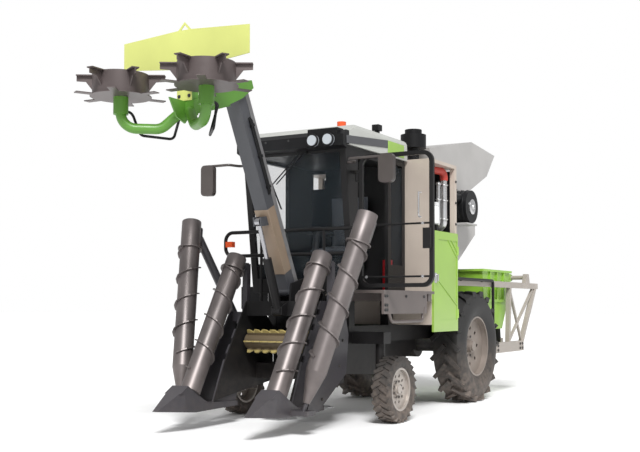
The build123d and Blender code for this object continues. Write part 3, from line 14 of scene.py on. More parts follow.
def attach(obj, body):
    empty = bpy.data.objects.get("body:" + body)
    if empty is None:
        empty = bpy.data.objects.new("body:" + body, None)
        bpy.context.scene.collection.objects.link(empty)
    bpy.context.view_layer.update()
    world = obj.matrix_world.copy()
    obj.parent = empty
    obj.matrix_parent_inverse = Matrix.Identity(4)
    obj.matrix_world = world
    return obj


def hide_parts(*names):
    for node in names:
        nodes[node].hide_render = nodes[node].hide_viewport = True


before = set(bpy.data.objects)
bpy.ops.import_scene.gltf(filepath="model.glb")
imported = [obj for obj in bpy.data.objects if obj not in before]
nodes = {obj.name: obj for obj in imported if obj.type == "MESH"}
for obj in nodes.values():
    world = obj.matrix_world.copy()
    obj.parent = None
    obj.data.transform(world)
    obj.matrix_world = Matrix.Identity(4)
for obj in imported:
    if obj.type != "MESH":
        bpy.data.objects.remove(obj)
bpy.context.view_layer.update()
scene = bpy.context.scene


# Materials: the scales are repeats of a noise in a metre, the ranges parts of a noise's span
PATCH_SCALE, PATCH_DETAIL, PATCH_RANGE, PATCH_LIFT = 2.3, 5.0, (0.3, 0.7), 0.6
WEAR_SCALE, WEAR_FROM, WEAR_TO, WEAR_LAG, WEAR_DEPTH = 9.0, 0.72, 0.8, 0.6, 0.85
DUST_SCALE, DUST_RANGE = 14.0, (0.3, 0.65)
ROUGH_RANGE = (0.25, 0.75)
SPECKLE_DETAIL, SPECKLE_ROUGH = 8.0, 0.7
COAT_ROUGHNESS = 0.12
GRAIN_DETAIL, BUMP_GAIN, BUMP_DEPTH = 3.0, 4, 0.002
GLASS_INDEX, GLASS_ROUGHNESS = 1.5, 0.03
LENS_ROUGHNESS = 0.15
# the edge over which the roller's painted shade fades into its paint
CORE_SHADE_BLEND = 0.01
DUST = (0.32, 0.25, 0.205)
RUST = (0.21, 0.12, 0.07)
BARE_STEEL = (0.2, 0.2, 0.2)
BARE_ZINC = (0.3, 0.28, 0.25)


def material(name):
    """A new material, its node tree and its shader."""
    made = bpy.data.materials.new(name)
    made.use_nodes = True
    return made, made.node_tree, made.node_tree.nodes["Principled BSDF"]


def put(node, values):
    """Sets sockets of a shader or another node to constants."""
    for socket, value in values.items():
        node.inputs[socket].default_value = value


def own_place(tree):
    """The place on the object itself, as an output."""
    return tree.nodes.new("ShaderNodeTexCoord").outputs["Object"]


def noise(tree, scale, detail, rough=0.55):
    """A noise in the object's own metres, as an output."""
    made = tree.nodes.new("ShaderNodeTexNoise")
    put(made, {"Scale": scale, "Detail": detail, "Roughness": rough})
    tree.links.new(own_place(tree), made.inputs["Vector"])
    return made.outputs["Fac"]


def between(tree, source, low, high, out_low=0.0, out_high=1.0):
    """Maps a value from one range to another, clamped."""
    made = tree.nodes.new("ShaderNodeMapRange")
    put(made, {"From Min": low, "From Max": high, "To Min": out_low, "To Max": out_high})
    tree.links.new(source, made.inputs["Value"])
    return made.outputs["Result"]


def blend_colour(tree, factor, first, second):
    """Mixes two colours or colour outputs by a factor."""
    made = tree.nodes.new("ShaderNodeMix")
    made.data_type = "RGBA"
    tree.links.new(factor, made.inputs["Factor"])
    for socket, value in ((made.inputs[6], first), (made.inputs[7], second)):
        if isinstance(value, tuple):
            socket.default_value = (*value, 1)
        else:
            tree.links.new(value, socket)
    return made.outputs[2]


def shade(colour, factor):
    """The same colour, darker or lighter."""
    return tuple(min(1.0, c * factor) for c in colour)


def surface(
    name, colour, rough=0.45, metal=0.0, coat=0.0, patch=0.14, dust=0.0, dust_top=1.0,
    grain=220, bump=0.03, rough_swing=0.12, worn=None, worn_share=0.0, gleam=0.5,
):
    """A paint, metal, plastic or rubber with patches, low dust, worn spots and a fine bump."""
    made, tree, shader = material(name)
    put(shader, {
        "Metallic": metal, "Coat Weight": coat, "Coat Roughness": COAT_ROUGHNESS,
        "Specular IOR Level": gleam,
    })
    broad = noise(tree, PATCH_SCALE, PATCH_DETAIL)
    tone = between(tree, broad, *PATCH_RANGE)
    dark, light = shade(colour, 1 - patch), shade(colour, 1 + patch * PATCH_LIFT)
    paint = blend_colour(tree, tone, dark, light)
    if worn:
        spots = noise(tree, WEAR_SCALE, SPECKLE_DETAIL, SPECKLE_ROUGH)
        low, high = WEAR_FROM - worn_share, WEAR_TO - worn_share * WEAR_LAG
        paint = blend_colour(tree, between(tree, spots, low, high, 0.0, WEAR_DEPTH), paint, worn)
    if dust:
        split = tree.nodes.new("ShaderNodeSeparateXYZ")
        tree.links.new(own_place(tree), split.inputs["Vector"])
        height = between(tree, split.outputs["Z"], 0.0, dust_top, dust, 0.0)
        speckle = noise(tree, DUST_SCALE, SPECKLE_DETAIL, SPECKLE_ROUGH)
        share = tree.nodes.new("ShaderNodeMath")
        share.operation = "MULTIPLY"
        tree.links.new(height, share.inputs[0])
        tree.links.new(between(tree, speckle, *DUST_RANGE), share.inputs[1])
        paint = blend_colour(tree, share.outputs["Value"], paint, DUST)
    tree.links.new(paint, shader.inputs["Base Color"])
    low, high = rough - rough_swing / 2, rough + rough_swing / 2
    tree.links.new(between(tree, broad, *ROUGH_RANGE, low, high), shader.inputs["Roughness"])
    relief = tree.nodes.new("ShaderNodeBump")
    put(relief, {"Strength": bump * BUMP_GAIN, "Distance": BUMP_DEPTH})
    tree.links.new(noise(tree, grain, GRAIN_DETAIL), relief.inputs["Height"])
    tree.links.new(relief.outputs["Normal"], shader.inputs["Normal"])
    return made


def clear(name, colour, alpha, gleam=0.5):
    """Window glass: a clear pane that tints and gleams by its alpha."""
    made, _, shader = material(name)
    put(shader, {
        "Base Color": (*colour, 1), "Roughness": GLASS_ROUGHNESS, "IOR": GLASS_INDEX,
        "Specular IOR Level": gleam, "Alpha": alpha,
    })
    return made


def lamp(name, colour, strength):
    """A lens that shines a little."""
    made = surface(name, colour, LENS_ROUGHNESS, patch=0.05, grain=90, bump=0.05)
    shader = made.node_tree.nodes["Principled BSDF"]
    put(shader, {"Emission Color": (*colour, 1), "Emission Strength": strength})
    return made


def shade_towards_axis(made, axis, radius, colour):
    """Painted shade on a roller lying across: darker out to a radius from a place on its axis."""
    tree = made.node_tree
    base = tree.nodes["Principled BSDF"].inputs["Base Color"]
    outside = base.links[0].from_socket
    source = own_place(tree)
    for operation, value in (("SUBTRACT", axis), ("MULTIPLY", (1, 0, 1)), ("LENGTH", None)):
        step = tree.nodes.new("ShaderNodeVectorMath")
        step.operation = operation
        tree.links.new(source, step.inputs[0])
        if value:
            step.inputs[1].default_value = value
        source = step.outputs["Value" if operation == "LENGTH" else "Vector"]
    share = between(tree, source, radius, radius + CORE_SHADE_BLEND)
    tree.links.new(blend_colour(tree, share, colour, outside), base)
    return made


# Knockdown roller: painted shade, darker from its axis out to a radius over the blades' roots
ROLLER_AXIS = (1.73, 0, 0.83)
ROLLER_SHADE_RADIUS, ROLLER_CORE_SHADE = 0.098, (0.13, 0.098, 0.06)
LOOKS = {
    "scroll": surface(
        "scroll_metal", (0.178, 0.156, 0.153), 0.43, metal=0.6, patch=0.3, dust=0.18, dust_top=0.9,
        worn=RUST, worn_share=0.02,
    ),
    "shoe": surface(
        "shoe_paint", (0.047, 0.044, 0.050), 0.38, patch=0.3, dust=0.10, dust_top=0.6,
        worn=BARE_STEEL,
    ),
    "frame": surface(
        "frame_black", (0.013, 0.0125, 0.013), 0.42, patch=0.3, dust=0.10, dust_top=0.9, gleam=0.22
    ),
    "boom": surface("boom_charcoal", (0.060, 0.062, 0.070), 0.32, coat=0.15, patch=0.2, gleam=0.4),
    "tan": surface(
        "boom_tan", (0.25, 0.185, 0.13), 0.4, coat=0.15, patch=0.18, dust=0.2, dust_top=2.4
    ),
    "drum": surface(
        "drum_brown", (0.115, 0.092, 0.090), 0.42, metal=0.35, patch=0.25,
        worn=RUST, worn_share=0.015,
    ),
    "band": surface("band_grey", (0.062, 0.064, 0.070), 0.4, coat=0.2, patch=0.12),
    "white": surface("filter_white", (0.72, 0.73, 0.74), 0.4, patch=0.08),
    "bright": surface("bright_steel", (0.62, 0.62, 0.63), 0.28, metal=0.85, patch=0.1),
    "mirror": surface(
        "mirror_face", (0.70, 0.74, 0.78), 0.06, metal=1.0, patch=0.03, rough_swing=0.02, bump=0.0
    ),
    "rubber_red": surface("red_rubber", (0.46, 0.045, 0.03), 0.5, patch=0.15, grain=300, bump=0.06),
    "link": surface("link_grey", (0.27, 0.265, 0.27), 0.34, metal=0.5, patch=0.15),
    "lime": surface("lime_gloss", (0.60, 0.64, 0.19), 0.35, coat=0.35, patch=0.06),
    "panel": surface(
        "panel_lime", (0.285, 0.47, 0.075), 0.33, coat=0.4, patch=0.08, dust=0.2, dust_top=1.6
    ),
    "bin": surface(
        "bin_green", (0.26, 0.49, 0.05), 0.36, coat=0.3, patch=0.12, dust=0.25, dust_top=1.4
    ),
    "arm": surface("arm_green", (0.092, 0.25, 0.028), 0.42, coat=0.1, patch=0.15),
    "beige": surface(
        "beige_paint", (0.50, 0.43, 0.37), 0.42, coat=0.1, patch=0.1, dust=0.3, dust_top=1.4
    ),
    "hood": surface("hood_grey", (0.40, 0.39, 0.38), 0.45, patch=0.08),
    "roof": surface("roof_grey", (0.46, 0.47, 0.44), 0.3, coat=0.4, patch=0.06),
    "black": surface("black_plastic", (0.010, 0.010, 0.011), 0.40, patch=0.2, grain=500, gleam=0.2),
    "cloth": surface("seat_cloth", (0.115, 0.125, 0.145), 0.8, patch=0.25, grain=900, bump=0.15),
    # the roller's paint, with painted shade darkening its core and the roots of its blades
    "roller": shade_towards_axis(
        surface(
            "roller_yellow", (0.36, 0.285, 0.105), 0.42, patch=0.2, worn=BARE_ZINC, worn_share=0.03
        ),
        ROLLER_AXIS, ROLLER_SHADE_RADIUS, ROLLER_CORE_SHADE,
    ),
    "steel": surface("knife_steel", (0.46, 0.46, 0.47), 0.3, metal=0.9, patch=0.15),
    "iron": surface(
        "cast_iron", (0.05, 0.05, 0.052), 0.55, metal=0.3, patch=0.3, dust=0.3, dust_top=1.2
    ),
    "chrome": surface(
        "rod_chrome", (0.42, 0.42, 0.44), 0.24, metal=1.0, patch=0.05, rough_swing=0.05
    ),
    "front_rim": surface(
        "front_rim_silver", (0.45, 0.41, 0.375), 0.36, metal=0.35, patch=0.15, dust=0.3,
        dust_top=0.7,
    ),
    "rear_rim": surface(
        "rear_rim_grey", (0.245, 0.21, 0.185), 0.42, metal=0.2, patch=0.15, dust=0.25
    ),
    "tyre": surface(
        "tyre_rubber", (0.020, 0.0195, 0.0195), 0.62, patch=0.3, dust=0.55, dust_top=0.8,
        grain=420, bump=0.1,
    ),
    "orange": lamp("beacon_orange", (0.72, 0.10, 0.03), 0.12),
    "clear_lamp": lamp("work_lamp_lens", (0.42, 0.45, 0.48), 0.06),
    "red": surface("red_paint", (0.55, 0.012, 0.018), 0.3, coat=0.5, patch=0.08),
    "step": surface(
        "step_brown", (0.115, 0.094, 0.088), 0.38, coat=0.1, patch=0.2, dust=0.15, dust_top=1.4
    ),
    "housing": surface("housing_brown", (0.062, 0.052, 0.049), 0.36, coat=0.1, patch=0.15),
    "truss": surface("truss_beige", (0.34, 0.305, 0.27), 0.42, coat=0.1, dust=0.3, dust_top=1.4),
    "glass": clear("cab_glass", (0.055, 0.072, 0.086), 0.11),
    "door_pane": clear("door_glass", (0.009, 0.010, 0.010), 0.06, gleam=0.08),
}

NODE_LOOKS = {
    "air_intake": "black", "base_cutter_left": "steel", "base_cutter_right": "steel",
    "bay_pipes": "bright", "beacon": "orange", "bin_carrier": "truss", "boom_arm": "boom",
    "boom_link": "link", "cab_frame": "frame", "cab_glass": "glass", "cab_interior": "cloth",
    "cab_roof": "roof", "cab_visor": "black", "cane_bin": "bin", "chassis_frame": "frame",
    "divider_left": "shoe", "divider_right": "shoe", "door_frame": "frame",
    "door_glass": "door_pane", "engine_bay": "beige", "engine_block": "iron",
    "extractor_chamber": "hood", "extractor_fan": "steel", "extractor_hood": "hood",
    "feed_casing": "frame", "fire_extinguisher": "red", "front_legs": "frame",
    "guard_rail": "frame", "knockdown_roller": "roller", "knuckle_left": "iron",
    "knuckle_right": "iron", "landing": "step", "lift_barrel": "frame", "lift_rod": "chrome",
    "mirrors": "housing", "rear_axle": "iron", "rim_front_left": "front_rim",
    "rim_front_right": "front_rim", "rim_rear_left": "rear_rim", "rim_rear_right": "rear_rim",
    "scroll_inner_left": "scroll", "scroll_inner_right": "scroll", "scroll_outer_left": "scroll",
    "scroll_outer_right": "scroll", "side_door_left": "panel", "side_panel_right": "panel",
    "throat_frame": "frame", "tip_barrels": "frame", "tip_rods": "chrome",
    "topper_bracket": "arm", "topper_drum_left": "drum", "topper_drum_right": "drum",
    "topper_hoses": "black", "topper_shield": "lime", "tyre_front_left": "tyre",
    "tyre_front_right": "tyre", "tyre_rear_left": "tyre", "tyre_rear_right": "tyre",
    "work_lamps": "clear_lamp",
}
for name, node in nodes.items():
    node.data.materials.clear()
    node.data.materials.append(LOOKS[NODE_LOOKS[name]])


# Trim: the shapes that small pieces are made of
ORIGIN = Vector((1.09, -0.18, 0))
SIDES = (("left", 1), ("right", -1))
EDGE, FINE_EDGE, SMALL_EDGE = 0.003, 0.002, 0.001
BEVEL_STEPS, BEVEL_ANGLE, SHARP_ANGLE = 2, math.radians(35), math.radians(40)
WASHER_RADIUS, WASHER_HEIGHT, HEAD_HEIGHT = 1.25, 0.2, 0.7


def at(*place):
    """A place in machine metres, in the part's frame."""
    return ORIGIN + Vector(place)


def turned(axis):
    """The turn that lays the z axis along the given direction."""
    return Vector((0, 0, 1)).rotation_difference(Vector(axis)).to_matrix().to_4x4()


def circle(steps, start=0.0):
    """Cosine and sine of equal steps round a circle, from a share of the first step."""
    for step in range(steps):
        angle = 2 * math.pi * (step + start) / steps
        yield math.cos(angle), math.sin(angle)


def wrap(mesh, low, high):
    """Joins two loops of vertices with a band of faces."""
    for step in range(len(low)):
        after = (step + 1) % len(low)
        mesh.faces.new((low[step], low[after], high[after], high[step]))


def lathe(mesh, place, axis, profile, steps=24):
    """Adds a turned shape with flat ends: profile gives (radius, height) along the axis."""
    turn = Matrix.Translation(place) @ turned(axis)
    rings = []
    for radius, height in profile:
        points = [Vector((radius * c, radius * s, height)) for c, s in circle(steps)]
        rings.append([mesh.verts.new(turn @ point) for point in points])
    for low, high in zip(rings, rings[1:]):
        wrap(mesh, low, high)
    mesh.faces.new(rings[0][::-1])
    mesh.faces.new(rings[-1])


def ring_shape(mesh, place, axis, radius, section, steps=40, around=10):
    """Adds a round ring about an axis, with a round section."""
    turn = Matrix.Translation(place) @ turned(axis)
    loops = []
    for c, s in circle(steps):
        loop = []
        for out, up in circle(around):
            reach = radius + section * out
            loop.append(mesh.verts.new(turn @ Vector((reach * c, reach * s, section * up))))
        loops.append(loop)
    for this, following in zip(loops, loops[1:] + loops[:1]):
        wrap(mesh, this, following)


def plate(mesh, outline, depth):
    """Adds a flat plate: outline is its face's corners, depth the way and length it is drawn."""
    near = [mesh.verts.new(point) for point in outline]
    far = [mesh.verts.new(point + depth) for point in outline]
    mesh.faces.new(near[::-1])
    mesh.faces.new(far)
    wrap(mesh, near, far)


def brick(mesh, low, high):
    """Adds a box between two corners."""
    foot = ((low.x, low.y), (high.x, low.y), (high.x, high.y), (low.x, high.y))
    plate(mesh, [Vector((x, y, low.z)) for x, y in foot], Vector((0, 0, high.z - low.z)))


def rod_through(mesh, points, radius, around=12):
    """Adds a round rod along a line of points, mitred at its corners."""
    loops = []
    side = None
    for step, point in enumerate(points):
        before = points[max(step - 1, 0)]
        after = points[min(step + 1, len(points) - 1)]
        way = (after - before).normalized()
        if side is None:
            side = way.orthogonal().normalized()
        side = (side - way * side.dot(way)).normalized()
        other = way.cross(side)
        loop = []
        for c, s in circle(around):
            loop.append(mesh.verts.new(point + side * (radius * c) + other * (radius * s)))
        loops.append(loop)
    for this, following in zip(loops, loops[1:]):
        wrap(mesh, this, following)
    mesh.faces.new(loops[0][::-1])
    mesh.faces.new(loops[-1])


def elbow(start, corner, end, radius, steps=10):
    """Points of a bend from start to end round a corner, with the given bend radius."""
    into = (corner - start).normalized()
    out = (end - corner).normalized()
    points = [start]
    low, high = corner - into * radius, corner + out * radius
    for step in range(steps + 1):
        share = step / steps
        points.append(low * (1 - share) ** 2 + corner * (2 * share * (1 - share)) + high * share**2)
    points.append(end)
    return points


def bolt(mesh, place, axis, size):
    """Adds a hexagon head on its washer."""
    wide, thick = size * WASHER_RADIUS, size * WASHER_HEIGHT
    lathe(mesh, place, axis, [(wide, 0), (wide, thick)], 20)
    top = place + Vector(axis).normalized() * size * WASHER_HEIGHT
    lathe(mesh, top, axis, [(size, 0), (size, size * HEAD_HEIGHT)], 6)


def bricks(*boxes):
    """A builder of boxes, each between two corners in machine metres."""
    def build(mesh):
        for low, high in boxes:
            brick(mesh, at(*low), at(*high))

    return build


def bolts(axis, size, places):
    """A builder of bolts that stand along one axis, at places in machine metres."""
    def build(mesh):
        for place in places:
            bolt(mesh, at(*place), axis, size)

    return build


def piece(name, body, look, build, bevel=EDGE):
    """Makes a piece from a mesh-building function, softens its edges and rides it on a body."""
    mesh = bmesh.new()
    build(mesh)
    bmesh.ops.recalc_face_normals(mesh, faces=mesh.faces)
    data = bpy.data.meshes.new(name)
    mesh.to_mesh(data)
    mesh.free()
    made = bpy.data.objects.new(name, data)
    scene.collection.objects.link(made)
    data.materials.append(LOOKS[look])
    if bevel:
        soften = made.modifiers.new("soft_edges", "BEVEL")
        soften.width = bevel
        soften.segments = BEVEL_STEPS
        soften.limit_method = "ANGLE"
        soften.angle_limit = BEVEL_ANGLE
    for face in data.polygons:
        face.use_smooth = True
    data.set_sharp_from_angle(angle=SHARP_ANGLE)
    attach(made, body)
    return made


# Wheel nuts round each hub, on the outer face of the disc
NUTS = [
    # axle, forward, track, height, circle's radius, face past the track, nuts, size
    ("front", 0.0, 1.90, 0.34, 0.085, 0.036, 8, 0.011),
    ("rear", -2.46, 1.46, 0.69, 0.125, 0.034, 8, 0.016),
]
for axle, x, track, z, radius, face, count, size in NUTS:
    for hand, side in SIDES:
        y = side * (track / 2 + face)
        places = [(x + radius * c, y, z + radius * s) for c, s in circle(count, 0.5)]
        nuts = bolts((0, side, 0), size, places)
        piece(f"wheel_nuts_{axle}_{hand}", f"wheel_{axle}_{hand}", "iron", nuts, SMALL_EDGE)

# Wiper on the raked windscreen: two parallel arms under a motor box, and the blade
SCREEN_LOW, SCREEN_TOP = (0.255, 1.48), (0.440, 2.75)
PIVOT_LIFT, BLADE_LIFT = 0.02, 0.03
ARM_RADIUS, BLADE_RADIUS = 0.007, 0.009
WIPER_ARMS = (((0.10, 2.765), (-0.26, 2.46)), ((0.15, 2.765), (-0.21, 2.46)))
WIPER_BLADE = ((-0.30, 2.56), (-0.17, 2.20))
MOTOR_BOX = ((0.42, 0.07, 2.755), (0.47, 0.18, 2.785))


def screen(y, z, lift=BLADE_LIFT):
    """A place just in front of the windscreen."""
    share = (z - SCREEN_LOW[1]) / (SCREEN_TOP[1] - SCREEN_LOW[1])
    return at(SCREEN_LOW[0] + share * (SCREEN_TOP[0] - SCREEN_LOW[0]) + lift, y, z)


def wipers(mesh):
    for pivot, tip in WIPER_ARMS:
        rod_through(mesh, [screen(*pivot, PIVOT_LIFT), screen(*tip)], ARM_RADIUS, 10)
    rod_through(mesh, [screen(*end) for end in WIPER_BLADE], BLADE_RADIUS, 10)
    brick(mesh, *(at(*corner) for corner in MOTOR_BOX))


piece("wipers", "chassis", "black", wipers)

# Bezels of the work lamps
BEZEL_X, LAMP_Z, LAMP_PLACES = 0.549, 2.862, (0.300, 0.480)
BEZEL_RADIUS, BEZEL_SECTION = 0.061, 0.010


def bezels(mesh):
    for y in LAMP_PLACES:
        ring_shape(mesh, at(BEZEL_X, y, LAMP_Z), (1, 0, 0), BEZEL_RADIUS, BEZEL_SECTION)


piece("lamp_bezels", "chassis", "black", bezels, 0)

# Grey band along the roof's left edge, with the lime end behind it
ROOF_SIDE_Y, BAND_DEPTH = 0.645, 0.006
BAND = ((0.46, 2.825), (0.46, 2.905), (-0.46, 2.985), (-0.46, 2.90))
BAND_END = ((-0.465, 2.84), (-0.465, 2.985), (-0.86, 2.985), (-0.86, 2.84))


def on_roof_side(outline):
    """A builder of a thin plate on the roof's left side."""
    def build(mesh):
        corners = [at(x, ROOF_SIDE_Y, z) for x, z in outline]
        plate(mesh, corners, Vector((0, BAND_DEPTH, 0)))

    return build


piece("roof_band", "chassis", "band", on_roof_side(BAND))
piece("roof_band_end", "chassis", "panel", on_roof_side(BAND_END))

# Tan sleeve round the lower part of the boom, on its front and both sides
BOOM_FOOT, BOOM_HEAD = Vector((0.56, 0, 1.36)), Vector((1.50, 0, 3.22))
BOOM_WAY = (BOOM_HEAD - BOOM_FOOT).normalized()
BOOM_OUT = Vector((BOOM_WAY.z, 0, -BOOM_WAY.x))
BOOM_HALF, BOOM_DEPTH = 0.075, 0.065
SLEEVE_LOW, SLEEVE_TOP, SLEEVE_SKIN = 0.20, 0.895, 0.004


def on_boom(run, out, y):
    """A place on the boom: metres up from its foot, out from its middle, and across."""
    return ORIGIN + BOOM_FOOT + BOOM_WAY * run + BOOM_OUT * out + Vector((0, y, 0))


def sleeve(mesh):
    edge = BOOM_HALF + SLEEVE_SKIN
    for near, far, y_low, y_high in (
        (BOOM_DEPTH, BOOM_DEPTH + SLEEVE_SKIN, -edge, edge),
        (-BOOM_DEPTH, BOOM_DEPTH, BOOM_HALF, edge),
        (-BOOM_DEPTH, BOOM_DEPTH, -edge, -BOOM_HALF),
    ):
        outline = ((SLEEVE_LOW, near), (SLEEVE_LOW, far), (SLEEVE_TOP, far), (SLEEVE_TOP, near))
        corners = [on_boom(run, out, y_low) for run, out in outline]
        plate(mesh, corners, Vector((0, y_high - y_low, 0)))


piece("boom_sleeve", "boom", "tan", sleeve, FINE_EDGE)

# Two hoses up the boom's left side, under three clips, from one port in it to another
HOSE_RADIUS, HOSE_LINES = 0.011, (-0.050, -0.025)
HOSE_LOW, HOSE_TOP, HOSE_BEND = 1.02, 1.80, 0.03
HOSE_Y, PORT_Y = BOOM_HALF + HOSE_RADIUS, 0.068
CLIP_SHARES, CLIP_BACK, CLIP_FRONT = (0.08, 0.48, 0.88), -0.064, -0.010
CLIP_WIDE, CLIP_HIGH = 0.03, 2 * HOSE_RADIUS + 0.004


def boom_hoses(mesh):
    stations = (
        (HOSE_LOW, PORT_Y), (HOSE_LOW + HOSE_BEND, HOSE_Y),
        (HOSE_TOP - HOSE_BEND, HOSE_Y), (HOSE_TOP, PORT_Y),
    )
    for out in HOSE_LINES:
        rod_through(mesh, [on_boom(run, out, y) for run, y in stations], HOSE_RADIUS)
    for share in CLIP_SHARES:
        low = HOSE_LOW + (HOSE_TOP - HOSE_LOW) * share
        high = low + CLIP_WIDE
        outline = ((low, CLIP_BACK), (low, CLIP_FRONT), (high, CLIP_FRONT), (high, CLIP_BACK))
        corners = [on_boom(run, out, BOOM_HALF) for run, out in outline]
        plate(mesh, corners, Vector((0, CLIP_HIGH, 0)))


piece("boom_hoses", "boom", "black", boom_hoses, FINE_EDGE)

# Painted skins on the fixed caps at the top of the scrolls
SCROLL_CAPS = [
    # top, foot, cap's length
    ((0.704, 0.512, 1.690), (1.500, 0.490, 0.365), 0.150),
    ((0.764, 1.051, 2.073), (1.350, 0.722, 0.300), 0.300),
]
CAP_RADIUS, CAP_CHAMFER, CAP_GAP, CAP_PROUD = 0.1008, 0.003, 0.001, 0.0008


def caps(side):
    """A builder of the skins on one side's caps."""
    def build(mesh):
        for top, foot, length in SCROLL_CAPS:
            high = at(top[0], side * top[1], top[2])
            way = (high - at(foot[0], side * foot[1], foot[2])).normalized()
            profile = [
                (CAP_RADIUS, CAP_GAP - length), (CAP_RADIUS, -CAP_CHAMFER),
                (CAP_RADIUS - CAP_CHAMFER, CAP_PROUD),
            ]
            lathe(mesh, high, way, profile, 48)

    return build


for hand, side in SIDES:
    piece(f"scroll_caps_{hand}", "chassis", "scroll", caps(side), 0)

# Side door: latch plate with its handle on a pin
SIDE_FACE, LATCH_THICK = 0.9553, 0.006
LATCH_PIN_X, LATCH_PIN_Z, LATCH_PIN_RADIUS = -1.03, 1.535, 0.008
LATCH_PIN_END, HANDLE_BACK, HANDLE_FRONT = 0.030, 0.026, 0.036


def side_latch(mesh):
    plate_face = SIDE_FACE + LATCH_THICK
    brick(mesh, at(-1.06, SIDE_FACE, 1.45), at(-0.995, plate_face, 1.56))
    pin = [at(LATCH_PIN_X, y, LATCH_PIN_Z) for y in (plate_face, SIDE_FACE + LATCH_PIN_END)]
    rod_through(mesh, pin, LATCH_PIN_RADIUS)
    low = at(-1.042, SIDE_FACE + HANDLE_BACK, 1.465)
    brick(mesh, low, at(-1.018, SIDE_FACE + HANDLE_FRONT, 1.545))


piece("side_door_latch", "side_door", "bright", side_latch, FINE_EDGE)

# Cab door: pull handle and the pane's bolts
DOOR_FACE = 0.322
PULL_Y, PULL_LOW, PULL_HIGH = 1.40, 2.06, 2.30
PULL_OUT, PULL_BEND, PULL_RADIUS = 0.05, 0.03, 0.009
PANE_BOLTS, PANE_BOLT_SIZE = [(y, z) for y in (0.80, 1.42) for z in (1.48, 2.0)], 0.012


def door_pull(mesh):
    low, high = at(DOOR_FACE, PULL_Y, PULL_LOW), at(DOOR_FACE, PULL_Y, PULL_HIGH)
    out = Vector((PULL_OUT, 0, 0))
    bend = elbow(low, low + out, high + out, PULL_BEND)[1:-1]
    rod_through(mesh, [low, *bend, high + out, high], PULL_RADIUS)
    bolts((1, 0, 0), PANE_BOLT_SIZE, [(DOOR_FACE, y, z) for y, z in PANE_BOLTS])(mesh)


piece("door_pull", "door", "bright", door_pull, 0)

# Dark sheet across the engine bay, put there as painted shade inside the bay
BAY_SHADE_SHEET = ((-1.700, -0.872, 1.99), (-1.690, 0.872, 2.78))
piece("bay_shade_sheet", "chassis", "black", bricks(BAY_SHADE_SHEET))

# A small camera box on its foot, on the roof's left edge
CAMERA_FOOT = ((-0.450, 0.515, 3.052), (-0.410, 0.555, 3.094))
CAMERA_BOX = ((-0.475, 0.490, 3.092), (-0.385, 0.572, 3.158))
piece("roof_camera", "chassis", "black", bricks(CAMERA_FOOT, CAMERA_BOX))

# Dark sheets put behind the throat and under the cab's right front corner as painted shade
THROAT_SHADE_SHEET = ((0.125, -0.440, 0.44), (0.133, 0.440, 1.30))
CAB_SHADE_SHEET = ((0.125, -0.86, 1.16), (0.133, -0.51, 1.40))
piece("throat_shade_sheet", "chassis", "black", bricks(THROAT_SHADE_SHEET))
piece("cab_shade_sheet", "chassis", "black", bricks(CAB_SHADE_SHEET))

# Engine bay: red elbow on the large pipe, white filter on its bracket, and pipe clamps
PIPE_Y, PIPES = 0.835, ((-1.545, 0.048), (-1.385, 0.033))
ELBOW_LOW, ELBOW_TOP, ELBOW_END = 2.655, 2.765, (-1.30, 0.76)
ELBOW_BEND, ELBOW_RADIUS = 0.085, 0.046
CLAMP_LEVELS, CLAMP_INSET, CLAMP_SECTION = (2.20, 2.42, 2.60), 0.008, 0.009
FILTER_FOOT = (-1.26, 0.84, 2.12)
FILTER_PROFILE = [(0.040, 0), (0.056, 0.015), (0.056, 0.20), (0.040, 0.215)]
FILTER_HEAD = ((-1.29, 0.80, 2.335), (-1.23, 0.885, 2.375))
FILTER_SEAT = ((-1.285, 0.70, 2.05), (-1.235, 0.88, 2.12))
BRACKET_ARM = ((-1.26, 0.74, 2.08), (-1.26, 0.50, 2.08), (-1.26, 0.50, 1.945))
BRACKET_RADIUS = 0.022


def red_elbow(mesh):
    x = PIPES[0][0]
    start, corner = at(x, PIPE_Y, ELBOW_LOW), at(x, PIPE_Y, ELBOW_TOP)
    bend = elbow(start, corner, at(*ELBOW_END, ELBOW_TOP), ELBOW_BEND)
    rod_through(mesh, bend, ELBOW_RADIUS, 16)


def filter_body(mesh):
    lathe(mesh, at(*FILTER_FOOT), (0, 0, 1), FILTER_PROFILE)
    bricks(FILTER_HEAD)(mesh)


def clamps(mesh):
    for x, radius in PIPES:
        for z in CLAMP_LEVELS:
            middle = at(x, PIPE_Y, z)
            ring_shape(mesh, middle, (0, 0, 1), radius - CLAMP_INSET, CLAMP_SECTION)


def filter_bracket(mesh):
    bricks(FILTER_SEAT)(mesh)
    rod_through(mesh, [at(*place) for place in BRACKET_ARM], BRACKET_RADIUS)


piece("red_elbow", "chassis", "rubber_red", red_elbow, 0)
piece("bay_filter", "chassis", "white", filter_body)
piece("pipe_clamps", "chassis", "bright", clamps, 0)
piece("filter_bracket", "chassis", "black", filter_bracket)

# Air cleaner: bright centre and three ribs
CLEANER_X, CLEANER_Z, CLEANER_FACE = -2.43, 2.4273, 0.830
CENTRE_PROFILE = [(0.095, 0), (0.095, 0.012), (0.070, 0.020), (0.030, 0.020), (0.022, 0.034)]
RIB_PLACES, RIB_RADIUS, RIB_SECTION = (0.66, 0.72, 0.78), 0.204, 0.009


def cleaner_face(mesh):
    lathe(mesh, at(CLEANER_X, CLEANER_FACE, CLEANER_Z), (0, 1, 0), CENTRE_PROFILE, 40)


def cleaner_rings(mesh):
    for y in RIB_PLACES:
        ring_shape(mesh, at(CLEANER_X, y, CLEANER_Z), (0, 1, 0), RIB_RADIUS, RIB_SECTION, 56)


piece("cleaner_face", "chassis", "bright", cleaner_face, SMALL_EDGE)
piece("cleaner_rings", "chassis", "black", cleaner_rings, 0)

